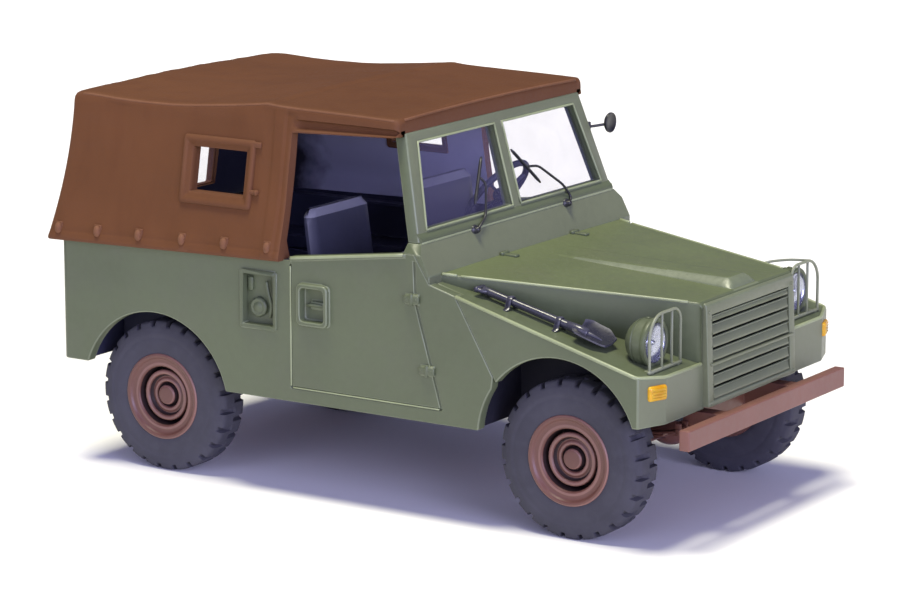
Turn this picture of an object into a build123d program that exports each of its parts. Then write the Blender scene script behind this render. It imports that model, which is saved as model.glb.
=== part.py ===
import os
from math import atan2, cos, degrees, pi, radians, sin, sqrt

from build123d import *

os.makedirs("parts", exist_ok=True)

# ----------------------------------------------------------------------------
# A 1:87 scale model of a small open military 4x4 with its soft top up.
# All sizes are millimetres of the model itself.
# Lengths "x" below are counted forward from the front axle; +y is the model's
# left, z is counted up from the ground. XO moves the axle to its place in the
# finished frame, whose origin is the middle of the bounding box at the ground.
# ----------------------------------------------------------------------------

X_NOSE = 7.05            # front face of the bumper
X_TAIL = -35.05          # rear end of the coupling hook
XO = -(X_NOSE + X_TAIL) / 2

WHEELBASE = 27.59
TYRE_R = 4.445
AXLE_Z = TYRE_R
TYRE_IN_Y = 7.54
TYRE_OUT_Y = 9.84
RIM_R = 2.50
SHAFT_R = 0.50
SHAFT_CLEAR = 0.05
X_FRONT = 0.0
X_REAR = -WHEELBASE

SIDE_Y = 10.91           # outer face of the body sides
SKIN = 0.70              # moulded wall thickness
SILL_Z = 5.67
REAR_LOW_Z = 6.20
BODY_REAR_X = -34.00
RAIL_Z = 13.40           # top of the body sides at the rear; the rail rises a little forwards
RAIL_SLOPE = 0.0235
DOOR_REAR_X = -17.55
DOOR_TOP_REAR_Z = 13.97
DOOR_TOP_FRONT_Z = 14.97
DOOR_FRONT_X = -9.85
COWL_X = -8.26
CORNER_R = 0.42
LINE = 0.14              # width and depth of the engraved panel lines

REAR_ARCH = (-27.25, 4.46, 5.20)
FRONT_ARCH = (-0.12, 5.31, 4.98)

WING_REAR_Z = 13.42      # wing top at COWL_X
WING_SLOPE = -0.274
WING_FRONT_X = 5.58
WING_LOW_Z = 7.05
CHAMFER_Y = 9.05
CHAMFER_X = 4.91

BONNET_FRONT = (5.57, 5.24, 13.00)
BONNET_REAR = (-8.26, 9.71, 13.84)
BONNET_SKIN = 0.60

GRILLE_Y = 5.06
GRILLE_LOW = (6.00, 7.20)
GRILLE_TOP = (5.76, 12.67)

SCREEN_FOOT = (-9.25, 15.50)
SCREEN_HEAD = (-10.90, 21.30)
SCREEN_T = 0.75
SCREEN_FOOT_Y = 10.39
SCREEN_HEAD_Y = 9.19
PANE_FOOT = (9.40, 16.09)
PANE_HEAD = (8.27, 20.76)
POST_Y = 0.38

TOP_T = 0.65             # soft top wall
HEM_Y = 11.55
EAVE_Y = 9.85
EAVE_Z = 21.60
TOP_FRONT_X = -18.03     # front edge of the side curtain
ROOF_FRONT_X = -10.95
TOP_REAR_X = -34.72

FLOOR_Z = 6.20
FLOOR_T = 0.60
FRAME_Y = (3.60, 4.60)
FRAME_LOW_Z = 4.85
BUMPER_LOW_Z = 5.74
BUMPER_X = 6.42          # rear face of the bumper bar


def wing_z(x):
    return WING_REAR_Z + WING_SLOPE * (x - COWL_X)


def rail_z(x):
    return RAIL_Z + RAIL_SLOPE * (x - BODY_REAR_X)


def slab_y(pts, ya, yb, mode=Mode.ADD):
    """Outline in x and z, carried across from ya to yb."""
    hi, lo = max(ya, yb), min(ya, yb)
    with BuildSketch(Plane.XZ.offset(-hi)) as sk:
        with BuildLine():
            Polyline(*[(x + XO, z) for x, z in pts], close=True)
        make_face()
    extrude(sk.sketch, amount=hi - lo, dir=(0, -1, 0), mode=mode)


def slab_x(pts, xa, xb, mode=Mode.ADD):
    """Outline in y and z, carried along from xa to xb."""
    lo, hi = min(xa, xb), max(xa, xb)
    with BuildSketch(Plane.YZ.offset(lo + XO)) as sk:
        with BuildLine():
            Polyline(*pts, close=True)
        make_face()
    extrude(sk.sketch, amount=hi - lo, dir=(1, 0, 0), mode=mode)


def slab_z(pts, za, zb, mode=Mode.ADD):
    """Outline in x and y, carried up from za to zb."""
    lo, hi = min(za, zb), max(za, zb)
    with BuildSketch(Plane.XY.offset(lo)) as sk:
        with BuildLine():
            Polyline(*[(x + XO, y) for x, y in pts], close=True)
        make_face()
    extrude(sk.sketch, amount=hi - lo, dir=(0, 0, 1), mode=mode)


def block(x0, x1, y0, y1, z0, z1, mode=Mode.ADD):
    with Locations((XO + (x0 + x1) / 2, (y0 + y1) / 2, (z0 + z1) / 2)):
        Box(abs(x1 - x0), abs(y1 - y0), abs(z1 - z0), mode=mode)


def block2(x0, x1, y0, y1, z0, z1, mode=Mode.ADD):
    """The same block on the right and on the left."""
    block(x0, x1, y0, y1, z0, z1, mode)
    block(x0, x1, -y1, -y0, z0, z1, mode)


def rod_y(x, z, r, y0, y1, mode=Mode.ADD):
    with Locations(Location((XO + x, (y0 + y1) / 2, z), (90, 0, 0))):
        Cylinder(r, abs(y1 - y0), mode=mode)


def rod_x(y, z, r, x0, x1, mode=Mode.ADD):
    with Locations(Location((XO + (x0 + x1) / 2, y, z), (0, 90, 0))):
        Cylinder(r, abs(x1 - x0), mode=mode)


def rod(p, q, r, mode=Mode.ADD):
    """Round bar between two points."""
    a = Vector(p[0] + XO, p[1], p[2])
    b = Vector(q[0] + XO, q[1], q[2])
    with BuildSketch(Plane(origin=a, z_dir=(b - a).normalized())) as sk:
        Circle(r)
    extrude(sk.sketch, amount=(b - a).length, dir=tuple((b - a).normalized()), mode=mode)


def ring_y(x, z, y0, profile, mode=Mode.ADD):
    """Solid of revolution about a crosswise axle. profile rows: radius, y."""
    with BuildSketch(Plane.XY.offset(0)) as sk:
        with BuildLine():
            Polyline(*[(XO + x + r, y) for r, y in profile], close=True)
        make_face()
    turned = revolve(sk.sketch, axis=Axis((XO + x, 0, 0), (0, 1, 0)), revolution_arc=360, mode=Mode.PRIVATE)
    add(turned.moved(Location((0, y0, z))), mode=mode)


# ---------------------------------------------------------------- body tub --
side_outline = [
    (BODY_REAR_X, REAR_LOW_Z), (BODY_REAR_X, RAIL_Z), (DOOR_REAR_X - 0.1, rail_z(DOOR_REAR_X)),
    (DOOR_REAR_X - 0.1, DOOR_TOP_REAR_Z), (DOOR_FRONT_X, DOOR_TOP_FRONT_Z),
    (-9.25, DOOR_TOP_FRONT_Z), (COWL_X, WING_REAR_Z), (-6.60, wing_z(-6.60)),
    (-4.15, 8.75), (-4.60, SILL_Z), (-27.2, SILL_Z), (-27.2, REAR_LOW_Z),
]

# engraved lines: x and z of both ends
PANEL_LINES = [
    (DOOR_REAR_X, 13.6, DOOR_REAR_X, 6.50),
    (DOOR_REAR_X, 6.50, -7.45, 6.50),
    (-7.45, 6.50, -9.15, 12.30),
    (-9.15, 12.30, -9.25, 14.60),
]
# door hinges: x, z of the middle
HINGES = [(-9.35, 12.50), (-8.35, 8.60)]

with BuildPart() as body_tub:
    with BuildSketch(Plane.XY.offset(SILL_Z)) as sk:
        with Locations((XO + (BODY_REAR_X + COWL_X + 5) / 2, 0)):
            RectangleRounded(COWL_X + 5 - BODY_REAR_X, 2 * SIDE_Y, CORNER_R)
    extrude(amount=DOOR_TOP_FRONT_Z - SILL_Z)
    block(BODY_REAR_X + SKIN, COWL_X + 6, -SIDE_Y + SKIN, SIDE_Y - SKIN, 0, 20, Mode.SUBTRACT)
    slab_y(side_outline, -SIDE_Y - 1, SIDE_Y + 1, Mode.INTERSECT)
    rod_y(REAR_ARCH[0], REAR_ARCH[1], REAR_ARCH[2], -12, 12, Mode.SUBTRACT)
    rod_y(FRONT_ARCH[0], FRONT_ARCH[1], FRONT_ARCH[2], -12, 12, Mode.SUBTRACT)
    # raised surround and pocket for the filler, right side
    block(-21.00, -18.50, -SIDE_Y - 0.12, -SIDE_Y + 0.3, 9.60, 13.00)
    block(-21.10, -18.40, -SIDE_Y + 0.3, -SIDE_Y + 1.35, 9.50, 13.10)
    block(-20.80, -18.70, -SIDE_Y - 0.5, -SIDE_Y + 1.00, 9.85, 12.75, Mode.SUBTRACT)
    rod_y(-19.95, 10.80, 0.55, -SIDE_Y + 0.62, -SIDE_Y + 1.05)
    for s in (1, -1):
        # handle surround with its pocket
        block(-17.00, -14.90, s * SIDE_Y - 0.3, s * SIDE_Y + 0.10, 10.20, 12.60)
        block(-16.75, -15.15, s * (SIDE_Y - 0.28), s * (SIDE_Y + 0.5), 10.45, 12.35, Mode.SUBTRACT)
        block(-16.20, -15.30, s * (SIDE_Y - 0.30), s * (SIDE_Y - 0.02), 11.15, 11.60)
        # lip along the door top
        slab_y([(DOOR_REAR_X, DOOR_TOP_REAR_Z - 0.22), (DOOR_REAR_X, DOOR_TOP_REAR_Z),
                (DOOR_FRONT_X, DOOR_TOP_FRONT_Z), (DOOR_FRONT_X, DOOR_TOP_FRONT_Z - 0.22)],
               s * (SIDE_Y - 0.2), s * (SIDE_Y + 0.12))
        for x0, z0, x1, z1 in PANEL_LINES:
            ln = sqrt((x1 - x0) ** 2 + (z1 - z0) ** 2)
            nx, nz = -(z1 - z0) / ln * LINE / 2, (x1 - x0) / ln * LINE / 2
            slab_y([(x0 + nx, z0 + nz), (x1 + nx, z1 + nz), (x1 - nx, z1 - nz), (x0 - nx, z0 - nz)],
                   s * (SIDE_Y - LINE), s * (SIDE_Y + 1), Mode.SUBTRACT)
        for x0, z0 in HINGES:
            block(x0 - 0.42, x0 + 0.42, s * (SIDE_Y - 0.2), s * (SIDE_Y + 0.16), z0 - 0.27, z0 + 0.27)
    # tailgate outline on the rear wall
    for y0, y1, z0, z1 in [(-7.2, -7.06, 6.6, 13.4), (7.06, 7.2, 6.6, 13.4), (-7.2, 7.2, 6.6, 6.74)]:
        block(BODY_REAR_X - 0.5, BODY_REAR_X + LINE, y0, y1, z0, z1, Mode.SUBTRACT)
body_tub.part.label = "body_tub"

# ------------------------------------------------------------- front wings --
# one side skin with its arch, the sloping top and the front face
WING_T = 0.62
wing_plan = [(-8.0, 4.80), (WING_FRONT_X, 4.80), (WING_FRONT_X, CHAMFER_Y), (CHAMFER_X, SIDE_Y), (-8.0, SIDE_Y)]
wing_side = [(-6.60, wing_z(-6.60)), (WING_FRONT_X, wing_z(WING_FRONT_X)), (WING_FRONT_X, WING_LOW_Z), (-3.2, WING_LOW_Z), (-4.15, 8.75)]
wing_under = [(-7.6, wing_z(-7.6) - WING_T), (WING_FRONT_X - WING_T, wing_z(WING_FRONT_X - WING_T) - WING_T),
              (WING_FRONT_X - WING_T, 4.0), (-9.0, 4.0)]
wing_under_plan = [(-9, 4.0), (WING_FRONT_X - WING_T, 4.0), (WING_FRONT_X - WING_T, CHAMFER_Y - 0.2),
                   (CHAMFER_X - 0.55, SIDE_Y - SKIN), (-9, SIDE_Y - SKIN)]
with BuildPart() as wing_void:
    slab_y(wing_under, 4.0, SIDE_Y - SKIN)
    slab_z(wing_under_plan, 0, 20, Mode.INTERSECT)

with BuildPart() as front_wings:
    slab_y(wing_side, 4.80, SIDE_Y)
    slab_z(wing_plan, 0, 20, Mode.INTERSECT)
    add(wing_void.part, mode=Mode.SUBTRACT)
    # the top goes on to the scuttle, inside the tub's cowl
    slab_y([(COWL_X, wing_z(COWL_X)), (-6.00, wing_z(-6.00)), (-6.00, wing_z(-6.00) - WING_T), (COWL_X, wing_z(COWL_X) - WING_T)], 8.90, SIDE_Y - SKIN)
    rod_y(FRONT_ARCH[0], FRONT_ARCH[1], FRONT_ARCH[2], 4, 12, Mode.SUBTRACT)
    mirror(about=Plane.XZ)
front_wings.part.label = "front_wings"

# ------------------------------------------------------------------ bonnet --
bonnet_plan = [(BONNET_REAR[0], -BONNET_REAR[1]), (BONNET_FRONT[0], -BONNET_FRONT[1]),
               (BONNET_FRONT[0], BONNET_FRONT[1]), (BONNET_REAR[0], BONNET_REAR[1])]
bonnet_inner = [(BONNET_REAR[0] - 1, -BONNET_REAR[1] + 0.45), (BONNET_FRONT[0] + 1, -BONNET_FRONT[1] + 0.90),
                (BONNET_FRONT[0] + 1, BONNET_FRONT[1] - 0.90), (BONNET_REAR[0] - 1, BONNET_REAR[1] - 0.45)]
with BuildPart() as bonnet_void:
    slab_y([(BONNET_REAR[0] - 1, BONNET_REAR[2] - BONNET_SKIN + 0.06), (BONNET_FRONT[0] + 1, BONNET_FRONT[2] - BONNET_SKIN - 0.06),
            (BONNET_FRONT[0] + 1, 6), (BONNET_REAR[0] - 1, 6)], -10, 10)
    slab_z(bonnet_inner, 0, 20, Mode.INTERSECT)

with BuildPart() as bonnet:
    slab_y([(BONNET_REAR[0], BONNET_REAR[2]), (BONNET_FRONT[0], BONNET_FRONT[2]),
            (BONNET_FRONT[0], wing_z(BONNET_FRONT[0])), (BONNET_REAR[0], WING_REAR_Z)], -10, 10)
    slab_z(bonnet_plan, 0, 20, Mode.INTERSECT)
    add(bonnet_void.part, mode=Mode.SUBTRACT)
    # raised centre panel
    slab_y([(-6.8, 13.70), (-6.5, 13.80), (4.35, 13.58), (4.75, 13.00)], -1.35, 1.35)
bonnet.part.label = "bonnet"

# ------------------------------------------------------------------ grille --
LOUVRE_Z = [12.05, 11.32, 10.60, 9.88, 9.22, 8.50, 7.78]
with BuildPart() as grille_panel:
    slab_y([(WING_FRONT_X, GRILLE_LOW[1]), GRILLE_LOW, GRILLE_TOP, (BONNET_FRONT[0] + 0.01, 12.98), (WING_FRONT_X - 0.9, 12.40), (WING_FRONT_X - 0.9, GRILLE_LOW[1])],
           -GRILLE_Y, GRILLE_Y)
    # room for the bonnet's shell and the inner edges of the wings
    slab_y([(WING_FRONT_X - 2, 12.3), (BONNET_FRONT[0], 12.3), (BONNET_FRONT[0], 15), (WING_FRONT_X - 2, 15)], -9, 9, Mode.SUBTRACT)
    block2(3, BONNET_FRONT[0] + 0.01, 4.3, 6, 5, 14, Mode.SUBTRACT)
    for z in LOUVRE_Z:
        slab_y([(5.2, z + 0.26), (7.0, z - 0.10), (7.0, z - 0.34), (5.2, z + 0.02)], -4.45, 4.45, Mode.SUBTRACT)
grille_panel.part.label = "grille_panel"

# ------------------------------------------------- scuttle and windscreen ----
def screen_x(z, back=0.0):
    """Front plane of the raked windscreen at height z."""
    t = (z - SCREEN_FOOT[1]) / (SCREEN_HEAD[1] - SCREEN_FOOT[1])
    return SCREEN_FOOT[0] + t * (SCREEN_HEAD[0] - SCREEN_FOOT[0]) - back


def screen_half(z):
    t = (z - SCREEN_FOOT[1]) / (SCREEN_HEAD[1] - SCREEN_FOOT[1])
    return SCREEN_FOOT_Y + t * (SCREEN_HEAD_Y - SCREEN_FOOT_Y)


def pane_half(z):
    t = (z - PANE_FOOT[1]) / (PANE_HEAD[1] - PANE_FOOT[1])
    return PANE_FOOT[0] + t * (PANE_HEAD[0] - PANE_FOOT[0])


z0, z1 = SCREEN_FOOT[1], SCREEN_HEAD[1]
with BuildPart() as scuttle:
    slab_y([(BONNET_REAR[0], 13.00), (BONNET_REAR[0], BONNET_REAR[2]), (SCREEN_FOOT[0] + 0.12, z0),
            (SCREEN_FOOT[0] - SCREEN_T, z0), (SCREEN_FOOT[0] - SCREEN_T, 13.00)], -10.91, 10.91)
    # the sides lean in above the body line and leave the tub's cowl free
    slab_x([(-10.21, 12), (-10.21, DOOR_TOP_FRONT_Z), (-SIDE_Y, DOOR_TOP_FRONT_Z), (-SCREEN_FOOT_Y, z0), (SCREEN_FOOT_Y, z0),
            (SIDE_Y, DOOR_TOP_FRONT_Z), (10.21, DOOR_TOP_FRONT_Z), (10.21, 12)], -12, -7, Mode.INTERSECT)
    # corner in front of the tub's cowl, flush with its side
    for s in (1, -1):
        slab_y([(-9.25, DOOR_TOP_FRONT_Z), (COWL_X, WING_REAR_Z), (COWL_X, BONNET_REAR[2]), (-8.85, DOOR_TOP_FRONT_Z)], s * 10.1, s * SIDE_Y)
scuttle.part.label = "scuttle"

with BuildPart() as windscreen_frame:
    slab_y([(screen_x(z0), z0), (screen_x(z1), z1), (screen_x(z1, SCREEN_T), z1), (screen_x(z0, SCREEN_T), z0)], -11, 11)
    slab_x([(-screen_half(z0), z0), (-screen_half(z1), z1), (screen_half(z1), z1), (screen_half(z0), z0)], -13, -7, Mode.INTERSECT)
    for s in (1, -1):
        a, b = PANE_FOOT[1], PANE_HEAD[1]
        slab_x([(s * POST_Y, a), (s * pane_half(a), a), (s * pane_half(b), b), (s * POST_Y, b)], -13, -7, Mode.SUBTRACT)
windscreen_frame.part.label = "windscreen_frame"

with BuildPart() as windscreen_panes:
    a, b = PANE_FOOT[1], PANE_HEAD[1]
    slab_y([(screen_x(a, 0.30), a), (screen_x(b, 0.30), b), (screen_x(b, 0.50), b), (screen_x(a, 0.50), a)], 0, 11)
    slab_x([(POST_Y, a), (pane_half(a), a), (pane_half(b), b), (POST_Y, b)], -13, -7, Mode.INTERSECT)
    mirror(about=Plane.XZ)
windscreen_panes.part.label = "windscreen_panes"

# ---------------------------------------------------------------- soft top --
def top_half(z):
    """Outer half width of the soft top at height z."""
    t = (z - RAIL_Z) / (EAVE_Z - RAIL_Z)
    return HEM_Y + t * (EAVE_Y - HEM_Y)


def top_rear_x(z, inwards=0.0):
    """Outer face of the soft top's rear wall at height z."""
    return TOP_REAR_X + 0.112 * (z - RAIL_Z) + inwards


LIP_Z = 20.95            # lower edge of the roof's lip over the doors
top_side = [(top_rear_x(RAIL_Z), RAIL_Z - 1), (top_rear_x(21.2), 21.20), (top_rear_x(21.2) + 0.22, 21.85), (top_rear_x(21.2) + 0.75, 23.5),
            (ROOF_FRONT_X - 0.45, 23.5), (ROOF_FRONT_X - 0.25, 21.95), (ROOF_FRONT_X, 21.62), (ROOF_FRONT_X, 21.28), (ROOF_FRONT_X - 0.35, LIP_Z),
            (TOP_FRONT_X, LIP_Z), (TOP_FRONT_X + 0.05, 14.2), (TOP_FRONT_X + 0.05, RAIL_Z - 1)]
# cross sections along the roof: x, half width at the eave, eave height, height of the roof's shoulder, crown
TOP_SECTIONS = [(-35.20, 9.85, 21.50, 21.95, 22.20), (-33.00, 9.85, 21.55, 22.00, 22.25), (-19.60, 9.80, 21.90, 22.36, 22.55),
                (-12.00, 9.62, 21.50, 22.05, 22.25), (-9.50, 9.60, 21.40, 21.90, 22.10)]


def top_loft(k):
    """Hull of the soft top, drawn k inside its outer face."""
    rows = []
    for x, ey, ez, sz, cz in TOP_SECTIONS:
        hem = HEM_Y + (HEM_Y - ey) / (ez - RAIL_Z)
        with BuildSketch(Plane.YZ.offset(x + XO)) as sk:
            with BuildLine():
                # the foot is thicker inside, where it sits on the rail
                mid = ey + (HEM_Y - ey) * (ez - RAIL_Z - 1.2) / (ez - RAIL_Z)
                Polyline((-hem + 2.2 * k, RAIL_Z - 1), (-mid + k, RAIL_Z + 1.2), (-ey + k, ez - 0.6 * k), (-ey + 0.5 + k, sz - k), (-5.0, cz - 0.08 - k),
                         (5.0, cz - 0.08 - k), (ey - 0.5 - k, sz - k), (ey - k, ez - 0.6 * k), (mid - k, RAIL_Z + 1.2), (hem - 2.2 * k, RAIL_Z - 1), close=True)
            make_face()
        rows.append(sk.sketch.face())
    loft(sections=rows, ruled=True)


WIN = (-25.40, -20.37, 16.30, 20.20)      # raised frame of the side window
WIN_OPEN = (-24.72, -20.97, 17.00, 19.60)
REAR_WIN = (4.05, 14.40, 18.40)           # half width, lower and upper edge
with BuildPart() as top_void:
    top_loft(TOP_T)
    slab_y([(top_rear_x(RAIL_Z - 1, TOP_T), RAIL_Z - 2), (top_rear_x(23, TOP_T), 23), (TOP_FRONT_X + 0.06, 23), (TOP_FRONT_X + 0.06, RAIL_Z - 2)],
           -13, 13, Mode.INTERSECT)

with BuildPart() as soft_top:
    top_loft(0.0)
    slab_y(top_side, -13, 13, Mode.INTERSECT)
    add(top_void.part, mode=Mode.SUBTRACT)
    # the roof over the doors is a shallow tray, open below
    slab_x([(-9.32, 20.0), (-9.05, 21.20), (-8.5, 21.40), (8.5, 21.40), (9.05, 21.20), (9.32, 20.0)],
           TOP_FRONT_X - 0.01, -11.4, Mode.SUBTRACT)
    for s in (1, -1):
        zt, zb = WIN[3], WIN[2]
        slab_x([(s * (top_half(zb) - 0.4), zb), (s * (top_half(zt) - 0.4), zt), (s * (top_half(zt) + 0.18), zt), (s * (top_half(zb) + 0.18), zb)],
               WIN[0], WIN[1])
        block(WIN_OPEN[0], WIN_OPEN[1], s * 8, s * 12.5, WIN_OPEN[2], WIN_OPEN[3], Mode.SUBTRACT)
    # rear window
    block(TOP_REAR_X - 1, TOP_REAR_X + 4, -REAR_WIN[0], REAR_WIN[0], REAR_WIN[1], REAR_WIN[2], Mode.SUBTRACT)
    # nothing of it reaches into the screen frame or the tub
    slab_y([(-40, 0), (-40, rail_z(-40)), (-8, rail_z(-8)), (-8, 0)], -15, 15, Mode.SUBTRACT)
    block(SCREEN_HEAD[0] - SCREEN_T - 0.05, -8, -9.34, 9.34, 20, SCREEN_HEAD[1], Mode.SUBTRACT)
soft_top.part.label = "soft_top"

with BuildPart() as rear_window:
    _, zb, zt = REAR_WIN
    slab_y([(top_rear_x(zb, 0.35), zb), (top_rear_x(zt, 0.35), zt), (top_rear_x(zt, 0.55), zt), (top_rear_x(zb, 0.55), zb)], -REAR_WIN[0], REAR_WIN[0])
rear_window.part.label = "rear_window"

# ---------------------------------------------------------- cabin moulding --
IN_Y = SIDE_Y - SKIN
BOX_Y = 6.50             # inner wall of the rear wheel boxes
with BuildPart() as cabin_floor:
    block(-8.90 - SKIN, -22.05, -IN_Y, IN_Y, FLOOR_Z, FLOOR_Z + FLOOR_T)
    block(-22.05, BODY_REAR_X + SKIN, -BOX_Y, BOX_Y, FLOOR_Z, FLOOR_Z + FLOOR_T)
    # wheel boxes: inner wall, front wall, rear wall, top
    block2(-22.05, -32.55, BOX_Y, BOX_Y + 0.5, FLOOR_Z, 10.30)
    block2(-22.05, -21.55, BOX_Y, IN_Y, FLOOR_Z, 10.30)
    block2(-33.10, -32.60, BOX_Y, IN_Y, FLOOR_Z, 10.30)
    block2(-21.55, -33.10, BOX_Y, IN_Y, 9.80, 10.30)
    # bulkhead between the cabin and the bonnet, with the toe board
    block(-8.90 - SKIN, -8.90, -IN_Y, IN_Y, FLOOR_Z, 13.00)
    # transmission tunnel
    block(-18.0, -9.6, -1.7, 1.7, FLOOR_Z + FLOOR_T, 8.3)
cabin_floor.part.label = "cabin_floor"

with BuildPart() as wheelhouse_liners:
    block(-8.90, -5.10, 6.0, IN_Y, 5.80, 6.20)
    block(-5.55, -5.05, 6.0, IN_Y, 5.80, 13)
    block(-5.55, WING_FRONT_X - WING_T, 6.0, 6.5, 6.60, 13)
    slab_y([(-9, 2), (-9, wing_z(-9) - WING_T), (5, wing_z(5) - WING_T), (5, 2)], 5, 11, Mode.INTERSECT)
    mirror(about=Plane.XZ)
wheelhouse_liners.part.label = "wheelhouse_liners"

# seat rows: x of the back's foot, y range
with BuildPart() as front_seats:
    for s in (1, -1):
        ya, yb = s * 2.5, s * 8.6
        slab_y([(-17.9, 8.6), (-12.9, 8.9), (-12.8, 10.2), (-13.2, 10.6), (-17.2, 10.3), (-17.55, 15.9), (-17.8, 16.2), (-18.3, 16.2), (-18.6, 15.8)], ya, yb)
        block(-17.4, -13.4, s * 3.2, s * 7.9, FLOOR_Z + FLOOR_T, 8.80)
        slab_y([(-18.8, FLOOR_Z + FLOOR_T), (-13.0, FLOOR_Z + FLOOR_T), (-13.0, 7.2), (-18.8, 7.2)], s * 3.0, s * 8.1)
front_seats.part.label = "front_seats"

with BuildPart() as rear_benches:
    block2(-32.9, -21.8, 6.6, 10.1, 10.30, 11.20)
    block2(-32.9, -21.8, 9.0, 10.1, 11.20, 13.30)
rear_benches.part.label = "rear_benches"

DASH_X = SCREEN_FOOT[0] - SCREEN_T
with BuildPart() as dashboard:
    block(DASH_X - 0.9, DASH_X, -9.9, 9.9, 12.30, 14.60)
    block(DASH_X - 0.5, DASH_X, -9.9, 9.9, 14.60, 14.90)
    rod_x(4.5, 13.7, 0.80, DASH_X - 1.1, DASH_X - 0.9)
    rod_x(0.0, 13.6, 0.50, DASH_X - 1.05, DASH_X - 0.9)
    rod_x(1.4, 13.6, 0.50, DASH_X - 1.05, DASH_X - 0.9)
dashboard.part.label = "dashboard"

WHEEL_C = (-13.6, 4.50, 15.75)      # steering wheel centre
RAKE = radians(38)                  # column's rise towards the driver
with BuildPart() as steering_wheel:
    n = Vector(-cos(RAKE), 0, sin(RAKE))
    c = Vector(WHEEL_C[0] + XO, WHEEL_C[1], WHEEL_C[2])
    pl = Plane(origin=c, x_dir=(0, 1, 0), z_dir=tuple(n))
    with BuildSketch(Plane(origin=c, x_dir=(0, 1, 0), z_dir=(sin(RAKE), 0, cos(RAKE)))) as sk:
        with Locations((2.32, 0)):
            Circle(0.20)
    revolve(sk.sketch, axis=Axis(tuple(c), tuple(n)), revolution_arc=360)
    with BuildSketch(pl.offset(-0.15)) as sk:
        Circle(0.42)
    extrude(sk.sketch, amount=0.30, dir=tuple(n))
    for a in (90, 210, 330):
        d = (pl.x_dir * cos(radians(a)) + pl.y_dir * sin(radians(a)))
        e = c + d * 2.35
        rod((WHEEL_C[0], WHEEL_C[1], WHEEL_C[2]), (e.X - XO, e.Y, e.Z), 0.13)
    foot = c - n * 4.6
    rod((WHEEL_C[0], WHEEL_C[1], WHEEL_C[2]), (foot.X - XO, foot.Y, foot.Z), 0.22)
    block(DASH_X - 1.1, -8, 0, 9, 10, 15, Mode.SUBTRACT)
steering_wheel.part.label = "steering_wheel"

with BuildPart() as levers:
    for x, y, h in [(-12.4, 0.5, 3.6), (-14.2, -0.6, 2.6), (-15.6, 0.2, 2.2)]:
        rod((x, y, 8.30), (x - 0.5, y, 8.30 + h), 0.13)
        with Locations((x - 0.5 + XO, y, 8.30 + h)):
            Sphere(0.27)
        block(-20, -8, -2, 2, 6, 8.30, Mode.SUBTRACT)
levers.part.label = "levers"

# ----------------------------------------------------------- running gear ----
AXLE_TUBE_R = 0.75
with BuildPart() as chassis_frame:
    for s in (1, -1):
        slab_y([(-33.0, FRAME_LOW_Z), (2.3, FRAME_LOW_Z), (4.0, 5.48), (BUMPER_X, 5.95), (BUMPER_X, 6.80), (4.4, 6.80), (2.8, FLOOR_Z), (-33.0, FLOOR_Z)],
               s * FRAME_Y[0], s * FRAME_Y[1])
    for x in (-33.0, -22.4, -8.0, 2.6):
        block(x, x + 0.9, -FRAME_Y[0] - 0.2, FRAME_Y[0] + 0.2, FRAME_LOW_Z + 0.15, FLOOR_Z)
    for x in (X_FRONT, X_REAR):
        rod_y(x, AXLE_Z, AXLE_TUBE_R, -8, 8, Mode.SUBTRACT)
chassis_frame.part.label = "chassis_frame"

# axle rows: x, side of the final drive
AXLES = [("front", X_FRONT, 1.5), ("rear", X_REAR, 0.0)]
for axle_name, x, dy in AXLES:
    with BuildPart() as axle_case:
        rod_y(x, AXLE_Z, AXLE_TUBE_R, -7.25, 7.25)
        with Locations((XO + x, dy, AXLE_Z)):
            Sphere(1.45)
        for s in (1, -1):
            rod_y(x, AXLE_Z, 1.15, s * 6.75, s * 7.25)
        rod_y(x, AXLE_Z, SHAFT_R + SHAFT_CLEAR, -9, 9, Mode.SUBTRACT)
    axle_case.part.label = axle_name + "_axle_case"
    export_step(axle_case.part, "parts/" + axle_name + "_axle_case.step")

SPRING_Y = (4.75, 5.45)
with BuildPart() as leaf_springs:
    for x in (X_FRONT, X_REAR):
        slab_y([(x - 4.4, 5.95), (x - 2.2, 5.48), (x, 5.33), (x + 2.2, 5.48), (x + 4.4, 5.95), (x + 4.4, 5.72),
                (x + 2.6, 5.20), (x + 1.3, 4.98), (x, 4.86), (x - 1.3, 4.98), (x - 2.6, 5.20), (x - 4.4, 5.72)], SPRING_Y[0], SPRING_Y[1])
        for e in (-4.2, 4.2):
            block(x + e - 0.35, x + e + 0.35, FRAME_Y[1], SPRING_Y[1], 5.45, FLOOR_Z)
        rod_y(x, AXLE_Z, AXLE_TUBE_R, 4, 6, Mode.SUBTRACT)
    mirror(about=Plane.XZ)
leaf_springs.part.label = "leaf_springs"

SCREW_X, SCREW_R, SCREW_DEEP = -13.90, 0.60, 1.80
with BuildPart() as gearbox:
    block(-12.6, -4.2, -1.15, 1.15, 4.60, FLOOR_Z - 0.0)
    block(-15.2, -12.6, -1.9, 1.9, 4.20, FLOOR_Z)
    block(-4.2, 1.6, -1.6, 1.6, 5.95, 9.0)
    block(-8.2, -6.9, -3.0, 3.0, FRAME_LOW_Z, FLOOR_Z + 0.1, Mode.SUBTRACT)
    # blind hole for a display screw, open downwards
    with Locations((XO + SCREW_X, 0, 4.20 + SCREW_DEEP / 2)):
        Cylinder(SCREW_R, SCREW_DEEP, mode=Mode.SUBTRACT)
gearbox.part.label = "gearbox"

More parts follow.
